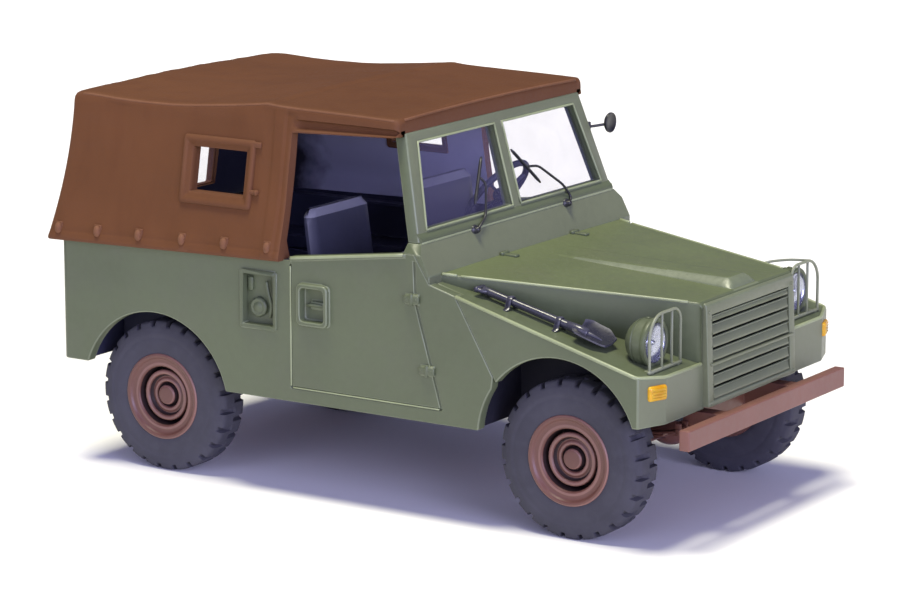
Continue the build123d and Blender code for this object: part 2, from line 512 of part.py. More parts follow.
with BuildPart() as prop_shafts:
    rod((-12.6, 1.5, 4.75), (-1.35, 1.5, 4.50), 0.28)
    rod((-15.2, 0.0, 4.90), (-26.25, 0.0, 4.50), 0.28)
    block(-12.6, -10, 1.0, 1.15, 4, 6, Mode.SUBTRACT)
    block(-12.6 - 2.7, -12.6, -2, 2, 4, 6.2, Mode.SUBTRACT)
    for x, dy in ((X_FRONT, 1.5), (X_REAR, 0.0)):
        with Locations((XO + x, dy, AXLE_Z)):
            Sphere(1.45, mode=Mode.SUBTRACT)
prop_shafts.part.label = "prop_shafts"

with BuildPart() as exhaust:
    rod_x(-2.65, 5.45, 0.70, -21.3, -16.2)
    rod_x(-2.65, 5.45, 0.24, -16.2, -9.2)
exhaust.part.label = "exhaust"

# ----------------------------------------------------------------- wheels ----
# profiles: radius, distance outwards from the wheel's inner face
RIM_PROFILE = [(SHAFT_R, 0.0), (2.05, 0.0), (2.30, 0.12), (2.30, 1.95), (2.50, 2.12), (2.50, 2.30), (2.20, 2.30), (2.16, 2.20), (1.74, 2.18),
               (1.66, 1.35), (1.56, 1.35), (1.50, 1.90), (1.20, 1.92), (1.12, 1.62), (1.00, 1.62), (0.75, 1.45), (0.60, 1.45), (0.55, 1.86), (SHAFT_R, 1.90)]
TYRE_PROFILE = [(2.30, 0.12), (2.75, 0.02), (3.35, 0.0), (4.10, 0.14), (4.36, 0.26), (4.445, 0.46), (4.445, 1.84), (4.36, 2.04), (4.10, 2.16), (3.35, 2.30),
                (2.75, 2.28), (2.50, 2.22), (2.50, 2.12), (2.30, 1.95)]
for axle_name, x, dy in AXLES:
    with BuildPart() as rims:
        for s in (1, -1):
            ring_y(x, AXLE_Z, 0, [(r, s * (TYRE_IN_Y + d)) for r, d in RIM_PROFILE])
            rod_y(x, AXLE_Z, 0.55, s * (TYRE_IN_Y + 1.70), s * (TYRE_IN_Y + 1.90))
    rims.part.label = axle_name + "_rims"
    export_step(rims.part, "parts/" + axle_name + "_rims.step")
    with BuildPart() as tyres:
        for s in (1, -1):
            ring_y(x, AXLE_Z, 0, [(r, s * (TYRE_IN_Y + d)) for r, d in TYRE_PROFILE])
    tyres.part.label = axle_name + "_tyres"
    export_step(tyres.part, "parts/" + axle_name + "_tyres.step")
    with BuildPart() as shaft:
        rod_y(x, AXLE_Z, SHAFT_R, -TYRE_IN_Y - 1.70, TYRE_IN_Y + 1.70)
    shaft.part.label = axle_name + "_axle_shaft"
    export_step(shaft.part, "parts/" + axle_name + "_axle_shaft.step")

# ---------------------------------------------------------------- fittings ----
with BuildPart() as front_bumper:
    block(BUMPER_X, X_NOSE, -9.11, 9.11, BUMPER_LOW_Z, 6.87)
front_bumper.part.label = "front_bumper"

LAMP = (8.12, 11.20)     # y and z of a headlamp's middle
LAMP_R = 1.30
# shell profile rows: x, radius
LAMP_PROFILE = [(2.75, 0), (2.82, 0.50), (3.05, 0.95), (3.35, 1.22), (3.60, LAMP_R), (4.42, LAMP_R), (4.42, 1.06), (4.15, 1.06), (4.15, 0)]
with BuildPart() as headlamp_shells:
    with BuildSketch(Plane.XY.offset(LAMP[1])) as sk:
        with BuildLine():
            Polyline(*[(XO + x, LAMP[0] + r) for x, r in LAMP_PROFILE], close=True)
        make_face()
    revolve(sk.sketch, axis=Axis((XO, LAMP[0], LAMP[1]), (1, 0, 0)), revolution_arc=360)
    slab_y([(-9, 0), (-9, wing_z(-9)), (9, wing_z(9)), (9, 0)], 5, 12, Mode.SUBTRACT)
    mirror(about=Plane.XZ)
headlamp_shells.part.label = "headlamp_shells"

with BuildPart() as headlamp_lenses:
    rod_x(LAMP[0], LAMP[1], 1.06, 4.15, 4.50)
    mirror(about=Plane.XZ)
headlamp_lenses.part.label = "headlamp_lenses"

GUARD_X = 4.90
GUARD = (6.37, 9.72, 13.05)      # middle of the inner bar, middle of the outer bar, top z
GUARD_BARS = [7.32, 8.39]        # bars between them
BAR = 0.20
zb = wing_z(GUARD_X)


def guard_outline(d):
    """Arch of the guard, drawn d inside its outer edge; rows are y and z."""
    yi, yo, zt = GUARD[0] - BAR / 2 + d, GUARD[1] + BAR / 2 - d, GUARD[2] - d
    ri, ro = 0.75 - d, 1.30 - d
    pts = [(yi, zb - 0.2)]
    pts += [(yi + ri - ri * cos(radians(a)), zt - ri + ri * sin(radians(a))) for a in (0, 30, 60, 90)]
    pts += [(yo - ro + ro * sin(radians(a)), zt - ro + ro * cos(radians(a))) for a in (0, 22, 45, 67, 90)]
    return pts + [(yo, zb - 0.2)]


with BuildPart() as lamp_guards:
    slab_x(guard_outline(0.0), GUARD_X - BAR / 2, GUARD_X + BAR / 2)
    slab_x(guard_outline(BAR), GUARD_X - BAR, GUARD_X + BAR, Mode.SUBTRACT)
    for y in GUARD_BARS:
        block(GUARD_X - BAR / 2, GUARD_X + BAR / 2, y - BAR / 2, y + BAR / 2, zb, GUARD[2] - 0.1)
    block(GUARD_X - BAR / 2, GUARD_X + BAR / 2, GUARD[0], GUARD[1], zb - 0.1, zb + 0.28)
    slab_y([(-9, 0), (-9, wing_z(-9)), (9, wing_z(9)), (9, 0)], 5, 12, Mode.SUBTRACT)
    mirror(about=Plane.XZ)
    # stay from the left guard's top to the bonnet's edge
    rod((GUARD_X, 8.70, GUARD[2] - 0.10), (2.9, 5.2, 13.10), 0.10)
    slab_z([(BONNET_REAR[0], 0), (BONNET_FRONT[0], 0), (BONNET_FRONT[0], BONNET_FRONT[1]), (BONNET_REAR[0], BONNET_REAR[1])], 0, 20, Mode.SUBTRACT)
lamp_guards.part.label = "lamp_guards"

with BuildPart() as indicators:
    slab_z([(5.58, 9.05), (5.80, 9.10), (5.40, 10.32), (5.13, 10.30)], 8.45, 9.30)
    slab_z([(-9, 4.0), (WING_FRONT_X, 4.0), (WING_FRONT_X, CHAMFER_Y), (CHAMFER_X, SIDE_Y), (-9, SIDE_Y)], 0, 20, Mode.SUBTRACT)
    mirror(about=Plane.XZ)
indicators.part.label = "indicators"

# wiper rows: pivot y, then y and z of the arm's bends, then both blade ends
WIPERS = [(-5.00, [(-3.72, 16.00), (-2.93, 17.70), (-3.32, 18.08)], (-4.29, 16.78), (-2.61, 19.14)),
          (4.87, [(5.50, 15.70), (4.93, 16.53), (2.78, 17.92), (1.78, 18.02)], (0.55, 19.13), (2.78, 16.95))]
WIPER_R = 0.09
with BuildPart() as wipers:
    for y0, bends, ba, bb in WIPERS:
        pts = [(y0, 15.55)] + bends
        for (ya, za), (yb, zb) in zip(pts[:-1], pts[1:]):
            rod((screen_x(za) + 0.12, ya, za), (screen_x(zb) + 0.12, yb, zb), WIPER_R)
        rod((screen_x(ba[1]) + 0.12, ba[0], ba[1]), (screen_x(bb[1]) + 0.12, bb[0], bb[1]), WIPER_R + 0.04)
        block(screen_x(15.35) - 0.1, screen_x(15.35) + 0.42, y0 - 0.33, y0 + 0.33, 15.12, 15.68)
    slab_y([(BONNET_REAR[0], 13.00), (BONNET_REAR[0], BONNET_REAR[2]), (SCREEN_FOOT[0] + 0.12, z0), (SCREEN_FOOT[0], z0), (screen_x(22.0), 22.0),
            (-14, 22), (-14, 13)], -11, 11, Mode.SUBTRACT)
wipers.part.label = "wipers"

with BuildPart() as mirror:
    rod((screen_x(19.2, 0.35), screen_half(19.2) - 0.15, 19.20), (-9.75, 10.50, 19.30), 0.12)
    rod((screen_x(18.95, 0.30), screen_half(18.95), 18.95), (screen_x(19.5, 0.30), screen_half(19.5), 19.50), 0.20)
    rod_x(10.95, 19.35, 0.62, -9.88, -9.62)
    slab_y([(screen_x(15.0), 15.0), (screen_x(22.0), 22.0), (-14, 22), (-14, 15)], -11, screen_half(19.3), Mode.SUBTRACT)
mirror.part.label = "mirror"

SHOVEL_Y = -9.30         # at the grip; it runs in towards the lamp


def on_wing(x, up):
    return (x, SHOVEL_Y + 0.055 * (x + 5.9), wing_z(x) + up)


with BuildPart() as shovel:
    rod(on_wing(-5.9, 0.42), on_wing(0.6, 0.42), 0.26)
    rod((-5.9, SHOVEL_Y - 0.45, wing_z(-5.9) + 0.42), (-5.9, SHOVEL_Y + 0.25, wing_z(-5.9) + 0.42), 0.18)
    y = on_wing(1.1, 0)[1]
    slab_y([(0.0, wing_z(0.0) + 0.62), (2.2, wing_z(2.2) + 0.42), (2.2, wing_z(2.2) + 0.12), (0.0, wing_z(0.0) + 0.12)], y - 0.85, y + 0.85)
    for x in (-4.0, -1.0):
        y = on_wing(x, 0)[1]
        slab_y([(x - 0.25, wing_z(x - 0.25)), (x - 0.25, wing_z(x - 0.25) + 0.5), (x + 0.25, wing_z(x + 0.25) + 0.5), (x + 0.25, wing_z(x + 0.25))],
               y - 0.42, y + 0.42)
    slab_y([(-9, 0), (-9, wing_z(-9)), (9, wing_z(9)), (9, 0)], -12, -5, Mode.SUBTRACT)
shovel.part.label = "shovel"

with BuildPart() as tail_lamps:
    for s in (1, -1):
        rod_x(s * 9.55, 9.6, 0.45, BODY_REAR_X - 0.35, BODY_REAR_X)
        rod_x(s * 9.55, 8.4, 0.35, BODY_REAR_X - 0.28, BODY_REAR_X)
tail_lamps.part.label = "tail_lamps"

with BuildPart() as coupling_hook:
    block(-34.05, -33.0, -0.55, 0.55, 5.10, 6.00)
    block(X_TAIL, -34.05, -0.22, 0.22, 5.10, 5.50)
    block(X_TAIL, X_TAIL + 0.35, -0.22, 0.22, 5.50, 6.05)
coupling_hook.part.label = "coupling_hook"

# ------------------------------------------------------------------ write ----
export_step(body_tub.part, "parts/body_tub.step")
export_step(front_wings.part, "parts/front_wings.step")
export_step(bonnet.part, "parts/bonnet.step")
export_step(grille_panel.part, "parts/grille_panel.step")
export_step(scuttle.part, "parts/scuttle.step")
export_step(windscreen_frame.part, "parts/windscreen_frame.step")
export_step(windscreen_panes.part, "parts/windscreen_panes.step")
export_step(soft_top.part, "parts/soft_top.step")
export_step(rear_window.part, "parts/rear_window.step")
export_step(cabin_floor.part, "parts/cabin_floor.step")
export_step(wheelhouse_liners.part, "parts/wheelhouse_liners.step")
export_step(front_seats.part, "parts/front_seats.step")
export_step(rear_benches.part, "parts/rear_benches.step")
export_step(dashboard.part, "parts/dashboard.step")
export_step(steering_wheel.part, "parts/steering_wheel.step")
export_step(levers.part, "parts/levers.step")
export_step(chassis_frame.part, "parts/chassis_frame.step")
export_step(leaf_springs.part, "parts/leaf_springs.step")
export_step(gearbox.part, "parts/gearbox.step")
export_step(prop_shafts.part, "parts/prop_shafts.step")
export_step(exhaust.part, "parts/exhaust.step")
export_step(front_bumper.part, "parts/front_bumper.step")
export_step(headlamp_shells.part, "parts/headlamp_shells.step")
export_step(headlamp_lenses.part, "parts/headlamp_lenses.step")
export_step(lamp_guards.part, "parts/lamp_guards.step")
export_step(indicators.part, "parts/indicators.step")
export_step(wipers.part, "parts/wipers.step")
export_step(mirror.part, "parts/mirror.step")
export_step(shovel.part, "parts/shovel.step")
export_step(tail_lamps.part, "parts/tail_lamps.step")
export_step(coupling_hook.part, "parts/coupling_hook.step")
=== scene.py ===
from math import atan2, cos, hypot, pi, radians, sin, sqrt

import bmesh
import bpy
from mathutils import Matrix, Vector, geometry, noise


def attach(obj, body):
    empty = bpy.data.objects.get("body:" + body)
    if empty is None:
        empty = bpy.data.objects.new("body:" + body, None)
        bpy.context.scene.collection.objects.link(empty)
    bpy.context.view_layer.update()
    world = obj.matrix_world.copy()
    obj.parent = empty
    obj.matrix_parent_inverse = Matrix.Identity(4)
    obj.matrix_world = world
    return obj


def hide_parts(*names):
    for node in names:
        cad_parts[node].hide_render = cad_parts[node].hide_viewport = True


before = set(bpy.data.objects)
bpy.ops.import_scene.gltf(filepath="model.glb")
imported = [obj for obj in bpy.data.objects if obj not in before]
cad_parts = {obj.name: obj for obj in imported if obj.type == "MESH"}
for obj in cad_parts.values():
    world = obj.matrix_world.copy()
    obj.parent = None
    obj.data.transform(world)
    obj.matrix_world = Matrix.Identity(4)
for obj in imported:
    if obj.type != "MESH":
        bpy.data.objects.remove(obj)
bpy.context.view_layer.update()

scene = bpy.context.scene

# Lengths below are millimetres; x is counted forward from the front axle, as in the CAD source.
XO = 14.0
MM = 0.001
WB = 27.59
AXLE_Z = 4.445
SIDE_Y = 10.91


def lerp(a, b, t):
    return a + (b - a) * t


def clamp(t, lo=0.0, hi=1.0):
    return max(lo, min(hi, t))


def sstep(a, b, x):
    t = clamp((x - a) / (b - a))
    return t * t * (3 - 2 * t)


def table(rows, x):
    """Piecewise-linear table of (x, value)."""
    if x <= rows[0][0]:
        return rows[0][1]
    for (xa, va), (xb, vb) in zip(rows, rows[1:]):
        if x <= xb:
            return lerp(va, vb, (x - xa) / (xb - xa))
    return rows[-1][1]


def wing_z(x):
    return 13.42 - 0.274 * (x + 8.26)


def rail_z(x):
    return 13.40 + 0.0235 * (x + 34.0)


def screen_x(z, back=0.0):
    return -9.25 + (z - 15.5) / 5.8 * -1.65 - back


def screen_half(z):
    return 10.39 + (z - 15.5) / 5.8 * -1.2


# ------------------------------------------------------------- materials --
class Mat:
    """A material being wired up."""

    def __init__(self, name):
        self.mat = bpy.data.materials.new(name)
        self.mat.use_nodes = True
        self.tree = self.mat.node_tree
        self.tree.nodes.clear()
        self.out = self.tree.nodes.new("ShaderNodeOutputMaterial")
        self.coord = self.tree.nodes.new("ShaderNodeTexCoord").outputs["Object"]

    def node(self, kind, **props):
        n = self.tree.nodes.new(kind)
        for k, v in props.items():
            setattr(n, k, v)
        return n

    def put(self, socket, value):
        if isinstance(value, bpy.types.NodeSocket):
            self.tree.links.new(value, socket)
        else:
            socket.default_value = value

    def stretch(self, sx, sy, sz):
        n = self.node("ShaderNodeMapping")
        self.put(n.inputs["Vector"], self.coord)
        n.inputs["Scale"].default_value = (sx, sy, sz)
        return n.outputs["Vector"]

    def noise(self, scale, detail=3.0, rough=0.5, twist=0.0, vec=None):
        n = self.node("ShaderNodeTexNoise")
        self.put(n.inputs["Vector"], vec or self.coord)
        n.inputs["Scale"].default_value = scale
        n.inputs["Detail"].default_value = detail
        n.inputs["Roughness"].default_value = rough
        n.inputs["Distortion"].default_value = twist
        return n.outputs["Fac"]

    def cells(self, scale, vec=None):
        n = self.node("ShaderNodeTexVoronoi")
        self.put(n.inputs["Vector"], vec or self.coord)
        n.inputs["Scale"].default_value = scale
        return n.outputs["Distance"]

    def span(self, value, lo, hi, a=0.0, b=1.0):
        n = self.node("ShaderNodeMapRange")
        self.put(n.inputs["Value"], value)
        n.inputs["From Min"].default_value = lo
        n.inputs["From Max"].default_value = hi
        n.inputs["To Min"].default_value = a
        n.inputs["To Max"].default_value = b
        return n.outputs["Result"]

    def maths(self, op, a, b=0.0):
        n = self.node("ShaderNodeMath", operation=op)
        self.put(n.inputs[0], a)
        self.put(n.inputs[1], b)
        return n.outputs[0]

    def mix(self, fac, a, b, how="MIX"):
        n = self.node("ShaderNodeMix", data_type="RGBA", blend_type=how)
        self.put(n.inputs[0], fac)
        self.put(n.inputs[6], a)
        self.put(n.inputs[7], b)
        return n.outputs[2]

    def bump(self, height, strength, distance, normal=None):
        n = self.node("ShaderNodeBump")
        self.put(n.inputs["Height"], height)
        n.inputs["Strength"].default_value = strength
        n.inputs["Distance"].default_value = distance
        if normal is not None:
            self.put(n.inputs["Normal"], normal)
        return n.outputs["Normal"]

    def edges(self, lo=0.52, hi=0.60):
        g = self.node("ShaderNodeNewGeometry")
        return self.span(g.outputs["Pointiness"], lo, hi)

    def body(self, colour, rough, normal=None, **fixed):
        p = self.node("ShaderNodeBsdfPrincipled")
        self.put(p.inputs["Base Color"], colour)
        self.put(p.inputs["Roughness"], rough)
        if normal is not None:
            self.put(p.inputs["Normal"], normal)
        for k, v in fixed.items():
            p.inputs[k.replace("_", " ")].default_value = v
        return p.outputs[0]

    def done(self, shader):
        self.tree.links.new(shader, self.out.inputs["Surface"])
        return self.mat


def rgb(r, g, b):
    return (r, g, b, 1.0)


def scaled(c, k):
    return (c[0] * k, c[1] * k, c[2] * k, 1.0)


def plastic(name, base, rough=0.42, spec=0.45, vary=0.10, grain=0.10, edge_wear_and_highlight=0.25, edge_wear_and_highlight_to=None, cloudy=None):
    """Moulded and painted model plastic: faint clouds of tone, fine paint grain, edges a little lighter, partly as wear
    and partly as a painted highlight.
    """
    m = Mat(name)
    clouds = m.noise(150.0, 2.0, 0.5)
    specks = m.noise(2600.0, 3.0, 0.6)
    fine = m.noise(14000.0, 2.0, 0.5)
    col = m.mix(m.span(clouds, 0.35, 0.65), scaled(base, 1 - vary), scaled(base, 1 + vary))
    if cloudy is not None:
        col = m.mix(m.span(m.noise(420.0, 2.0, 0.6, 0.6), 0.45, 0.75, 0.0, 0.35), col, cloudy)
    col = m.mix(m.span(specks, 0.35, 0.70, 0.0, 0.14), col, scaled(base, 1.55))
    # edges lightened by pointiness: partly wear, partly a painted highlight
    if edge_wear_and_highlight:
        col = m.mix(m.maths("MULTIPLY", m.edges(), edge_wear_and_highlight), col, edge_wear_and_highlight_to or scaled(base, 2.2))
    r = m.span(specks, 0.3, 0.7, rough - 0.07, rough + 0.07)
    nrm = m.bump(specks, 0.25 * grain * 10, 4.0e-6)
    nrm = m.bump(fine, 0.20 * grain * 10, 1.2e-6, nrm)
    return m.done(m.body(col, r, nrm, Specular_IOR_Level=spec))


def canvas(name, base):
    """Moulded cloth: soft blotches, long faint creases, a fine cloth grain, and ridges lightened partly as wear and
    partly as a painted highlight.
    """
    m = Mat(name)
    clouds = m.noise(120.0, 3.0, 0.55, 0.3)
    streak = m.noise(1.0, 3.0, 0.6, 0.0, m.stretch(160.0, 1300.0, 1300.0))
    streak2 = m.noise(1.0, 2.0, 0.6, 0.0, m.stretch(700.0, 700.0, 150.0))
    grain = m.noise(5200.0, 3.0, 0.6)
    col = m.mix(m.span(clouds, 0.32, 0.68), scaled(base, 0.90), scaled(base, 1.08))
    col = m.mix(m.span(streak, 0.52, 0.72, 0.0, 0.22), col, rgb(0.105, 0.046, 0.023))
    col = m.mix(m.span(streak2, 0.50, 0.72, 0.0, 0.20), col, rgb(0.074, 0.024, 0.009))
    col = m.mix(m.span(grain, 0.40, 0.72, 0.0, 0.20), col, scaled(base, 1.35))
    # ridges lightened by pointiness: partly wear, partly a painted highlight
    col = m.mix(m.maths("MULTIPLY", m.edges(0.51, 0.58), 0.45), col, rgb(0.150, 0.068, 0.038))
    weave_u = m.node("ShaderNodeTexWave", wave_type="BANDS", bands_direction="X")
    weave_u.inputs["Scale"].default_value = 1700.0
    weave_u.inputs["Distortion"].default_value = 1.5
    m.put(weave_u.inputs["Vector"], m.coord)
    weave_v = m.node("ShaderNodeTexWave", wave_type="BANDS", bands_direction="DIAGONAL")
    weave_v.inputs["Scale"].default_value = 1700.0
    weave_v.inputs["Distortion"].default_value = 1.5
    m.put(weave_v.inputs["Vector"], m.coord)
    weave = m.maths("MULTIPLY", weave_u.outputs["Fac"], weave_v.outputs["Fac"])
    nrm = m.bump(weave, 0.18, 3.0e-6)
    nrm = m.bump(streak, 0.35, 1.6e-5, nrm)
    nrm = m.bump(grain, 0.55, 5.0e-6, nrm)
    r = m.span(grain, 0.3, 0.7, 0.62, 0.80)
    return m.done(m.body(col, r, nrm, Specular_IOR_Level=0.16))


def rubber(name, base):
    m = Mat(name)
    clouds = m.noise(260.0, 3.0, 0.55)
    dust = m.noise(1900.0, 4.0, 0.65, 0.4)
    fine = m.noise(9000.0, 2.0, 0.5)
    col = m.mix(m.span(clouds, 0.35, 0.65), scaled(base, 0.86), scaled(base, 1.12))
    col = m.mix(m.span(dust, 0.45, 0.75, 0.0, 0.30), col, rgb(0.085, 0.085, 0.100))
    nrm = m.bump(dust, 0.30, 6.0e-6)
    nrm = m.bump(fine, 0.30, 2.0e-6, nrm)
    return m.done(m.body(col, m.span(dust, 0.3, 0.7, 0.74, 0.88), nrm, Specular_IOR_Level=0.30))


def metal(name, base, rough, brushed=(900.0, 9000.0, 900.0)):
    m = Mat(name)
    lines = m.noise(1.0, 2.0, 0.6, 0.0, m.stretch(*brushed))
    tone = m.noise(600.0, 2.0, 0.5)
    col = m.mix(m.span(tone, 0.35, 0.65), scaled(base, 0.88), scaled(base, 1.05))
    nrm = m.bump(lines, 0.15, 1.5e-6)
    return m.done(m.body(col, m.span(lines, 0.3, 0.7, rough - 0.04, rough + 0.08), nrm, Metallic=1.0))


def clear(name, tint, smear=0.05):
    """Thin clear pane: it passes light, and reflects at a slant, with faint smears."""
    m = Mat(name)
    smears = m.noise(420.0, 3.0, 0.6, 0.8)
    haze = m.mix(m.span(smears, 0.35, 0.75), tint, scaled(tint, 0.96))
    through = m.node("ShaderNodeBsdfTransparent")
    m.put(through.inputs["Color"], haze)
    gloss = m.body(rgb(0.20, 0.19, 0.32), m.span(smears, 0.3, 0.7, 0.04, 0.12), None, Specular_IOR_Level=0.5)
    fres = m.node("ShaderNodeFresnel")
    fres.inputs["IOR"].default_value = 1.30
    amount = m.maths("ADD", m.maths("MULTIPLY", fres.outputs[0], 0.22), m.span(smears, 0.3, 0.8, 0.01, smear))
    mixer = m.node("ShaderNodeMixShader")
    m.put(mixer.inputs[0], amount)
    m.put(mixer.inputs[1], through.outputs[0])
    m.put(mixer.inputs[2], gloss)
    return m.done(mixer.outputs[0])


def jewel(name, base, glow):
    """Clear coloured lamp lens."""
    m = Mat(name)
    depth = m.noise(1500.0, 2.0, 0.5)
    col = m.mix(m.span(depth, 0.3, 0.7), base, glow)
    nrm = m.bump(m.noise(5200.0, 2.0), 0.15, 3.0e-6)
    return m.done(m.body(col, m.span(depth, 0.3, 0.7, 0.16, 0.26), nrm, Specular_IOR_Level=0.35, Coat_Weight=0.25, Coat_Roughness=0.08,
                         Subsurface_Weight=0.25, Subsurface_Scale=0.0006))


# Materials below with an edge amount above zero have their edges lightened, partly as wear and partly as a painted
# highlight.
OLIVE = rgb(0.087, 0.106, 0.056)
olive = plastic("olive_paint", OLIVE, rough=0.43, spec=0.45, vary=0.05, edge_wear_and_highlight=0.0, cloudy=rgb(0.096, 0.106, 0.068))
# lighter olive for rounded bevel faces: a painted highlight on the edges
olive_bevel_painted_highlight = plastic("olive_rounded_edge_painted_highlight", rgb(0.135, 0.157, 0.094), rough=0.38, spec=0.55, vary=0.10, edge_wear_and_highlight=0.0)
# lighter olive for faces turned forward: painted light from the front
olive_front_painted_light = plastic("olive_front_faces_painted_light", rgb(0.133, 0.149, 0.088), rough=0.42, spec=0.45, vary=0.05, edge_wear_and_highlight=0.0)
# near-black olive for the grille's back wall behind the slats: painted shade
slit_painted_shade = plastic("olive_in_slits_painted_shade", rgb(0.016, 0.022, 0.012), rough=0.60, spec=0.25, vary=0.15, edge_wear_and_highlight=0.0)
# yellower olive for the bonnet's upward faces: painted top light
olive_top_painted_light = plastic("olive_bonnet_top_painted_light", rgb(0.104, 0.128, 0.056), rough=0.43, spec=0.45, vary=0.07, edge_wear_and_highlight=0.0, cloudy=rgb(0.112, 0.122, 0.068))
# bright olive laid on beads and strips as a painted highlight along edges
olive_painted_highlight = plastic("olive_painted_edge_highlight", rgb(0.250, 0.285, 0.160), rough=0.40, spec=0.5, vary=0.12, edge_wear_and_highlight=0.0)
olive_fine = plastic("olive_etched", rgb(0.150, 0.168, 0.105), rough=0.38, spec=0.5, vary=0.06, edge_wear_and_highlight=0.25, edge_wear_and_highlight_to=rgb(0.5, 0.52, 0.38))
brown = canvas("brown_canvas", rgb(0.109, 0.043, 0.0165))
# lighter brown for studs and piping: a painted highlight
brown_painted_highlight = canvas("brown_canvas_painted_highlight", rgb(0.165, 0.075, 0.036))


def lining(name, dark, light):
    """Inside of the soft top: painted shade, dark at the back, turning to painted light, paler towards the door
    openings.
    """
    m = Mat(name)
    sep = m.node("ShaderNodeSeparateXYZ")
    m.put(sep.inputs[0], m.coord)
    n = m.noise(700.0, 3.0, 0.6)
    along = m.maths("ADD", sep.outputs["X"], m.span(n, 0.3, 0.7, -0.0006, 0.0006))
    col = m.mix(m.span(along, -0.0182, -0.0158), dark, light)
    nrm = m.bump(m.noise(5200.0, 3.0, 0.6), 0.3, 3.0e-6)
    return m.done(m.body(col, m.span(n, 0.3, 0.7, 0.55, 0.70), nrm, Specular_IOR_Level=0.3))


# the soft top's inside painted dark navy as shade, paling as painted light near the doors
inside = lining("inner_lining_painted_shade_and_light", rgb(0.020, 0.020, 0.034), rgb(0.40, 0.40, 0.54))

cabin = plastic("dark_cabin", rgb(0.030, 0.032, 0.062), rough=0.50, spec=0.45, vary=0.18, edge_wear_and_highlight=0.0)
# pale grey for the seat backs' top faces: a painted highlight
seat_top_painted_highlight = plastic("seat_top_painted_highlight_plastic", rgb(0.20, 0.20, 0.24), rough=0.50, spec=0.4, vary=0.18, edge_wear_and_highlight=0.0)
seatmat = plastic("seat_plastic", rgb(0.042, 0.043, 0.066), rough=0.48, spec=0.45, vary=0.18, edge_wear_and_highlight=0.45, edge_wear_and_highlight_to=rgb(0.16, 0.16, 0.23))
# near-black for the wheelhouse liners: painted shade inside the wheel wells
liner_painted_shade = plastic("wheelhouse_liner_painted_shade", rgb(0.010, 0.010, 0.017), rough=0.60, spec=0.30, vary=0.2, edge_wear_and_highlight=0.0)
bumpermat = plastic("red_brown_bumper", rgb(0.172, 0.076, 0.058), rough=0.44, spec=0.40, vary=0.08, edge_wear_and_highlight=0.0)
redbrown = plastic("red_brown_plastic", rgb(0.125, 0.050, 0.036), rough=0.46, spec=0.40, vary=0.08, edge_wear_and_highlight=0.0, edge_wear_and_highlight_to=rgb(0.30, 0.15, 0.12))
rimmat = plastic("red_brown_rims", rgb(0.120, 0.050, 0.038), rough=0.40, spec=0.45, vary=0.10, edge_wear_and_highlight=0.0)
# rim grooves near-black as painted shade, rim crests lighter as a painted highlight
rim_groove_painted_shade = plastic("red_brown_rim_grooves_painted_shade", rgb(0.022, 0.012, 0.012), rough=0.60, spec=0.25, vary=0.15, edge_wear_and_highlight=0.0)
rim_crest_painted_highlight = plastic("red_brown_rim_crests_painted_highlight", rgb(0.185, 0.090, 0.072), rough=0.36, spec=0.5, vary=0.15, edge_wear_and_highlight=0.0)
tyremat = rubber("tyre_rubber", rgb(0.049, 0.048, 0.061))
steel = metal("steel_pin", rgb(0.55, 0.55, 0.56), 0.28)
silver = metal("lamp_silver", rgb(0.82, 0.83, 0.85), 0.16, (5000.0, 5000.0, 500.0))
black = plastic("black_etched", rgb(0.012, 0.012, 0.014), rough=0.38, spec=0.5, vary=0.2, edge_wear_and_highlight=0.15, edge_wear_and_highlight_to=rgb(0.08, 0.08, 0.09))
tool = plastic("tool_paint", rgb(0.020, 0.020, 0.031), rough=0.29, spec=0.55, vary=0.15, edge_wear_and_highlight=0.30, edge_wear_and_highlight_to=rgb(0.16, 0.155, 0.21))
amber = jewel("amber_lens", rgb(0.48, 0.215, 0.004), rgb(0.66, 0.38, 0.02))
red = jewel("red_lens", rgb(0.30, 0.01, 0.01), rgb(0.60, 0.03, 0.02))
pane = clear("clear_pane", rgb(0.985, 0.985, 0.992), 0.022)
lens = clear("lamp_glass", rgb(0.95, 0.96, 0.98), 0.03)


# ---------------------------------------------------------- mesh helpers --
def face(bm, vs, mat=0):
    try:
        f = bm.faces.new(vs)
    except ValueError:
        return None
    f.material_index = mat
    return f


def loft(bm, rings, closed=True, cap0=False, cap1=False, mat=0):
    vr = [[bm.verts.new(p) for p in r] for r in rings]
    n = len(vr[0])
    for a, b in zip(vr, vr[1:]):
        for i in range(n if closed else n - 1):
            j = (i + 1) % n
            face(bm, (a[i], a[j], b[j], b[i]), mat)
    if cap0:
        face(bm, list(reversed(vr[0])), mat)
    if cap1:
        face(bm, vr[-1], mat)
    return vr


def spline(pts, k=6, closed=False):
    """Catmull-Rom through the points."""
    pts = [Vector(p) for p in pts]
    n = len(pts)
    out = []
    for i in range(n if closed else n - 1):
        if closed:
            p0, p1, p2, p3 = pts[(i - 1) % n], pts[i], pts[(i + 1) % n], pts[(i + 2) % n]
        else:
            p1, p2 = pts[i], pts[i + 1]
            p0 = pts[i - 1] if i else p1 * 2 - p2
            p3 = pts[i + 2] if i + 2 < n else p2 * 2 - p1
        for s in range(k):
            t = s / k
            out.append(0.5 * ((2 * p1) + (p2 - p0) * t + (2 * p0 - 5 * p1 + 4 * p2 - p3) * t * t + (3 * p1 - p0 - 3 * p2 + p3) * t ** 3))
    if not closed:
        out.append(pts[-1])
    return out


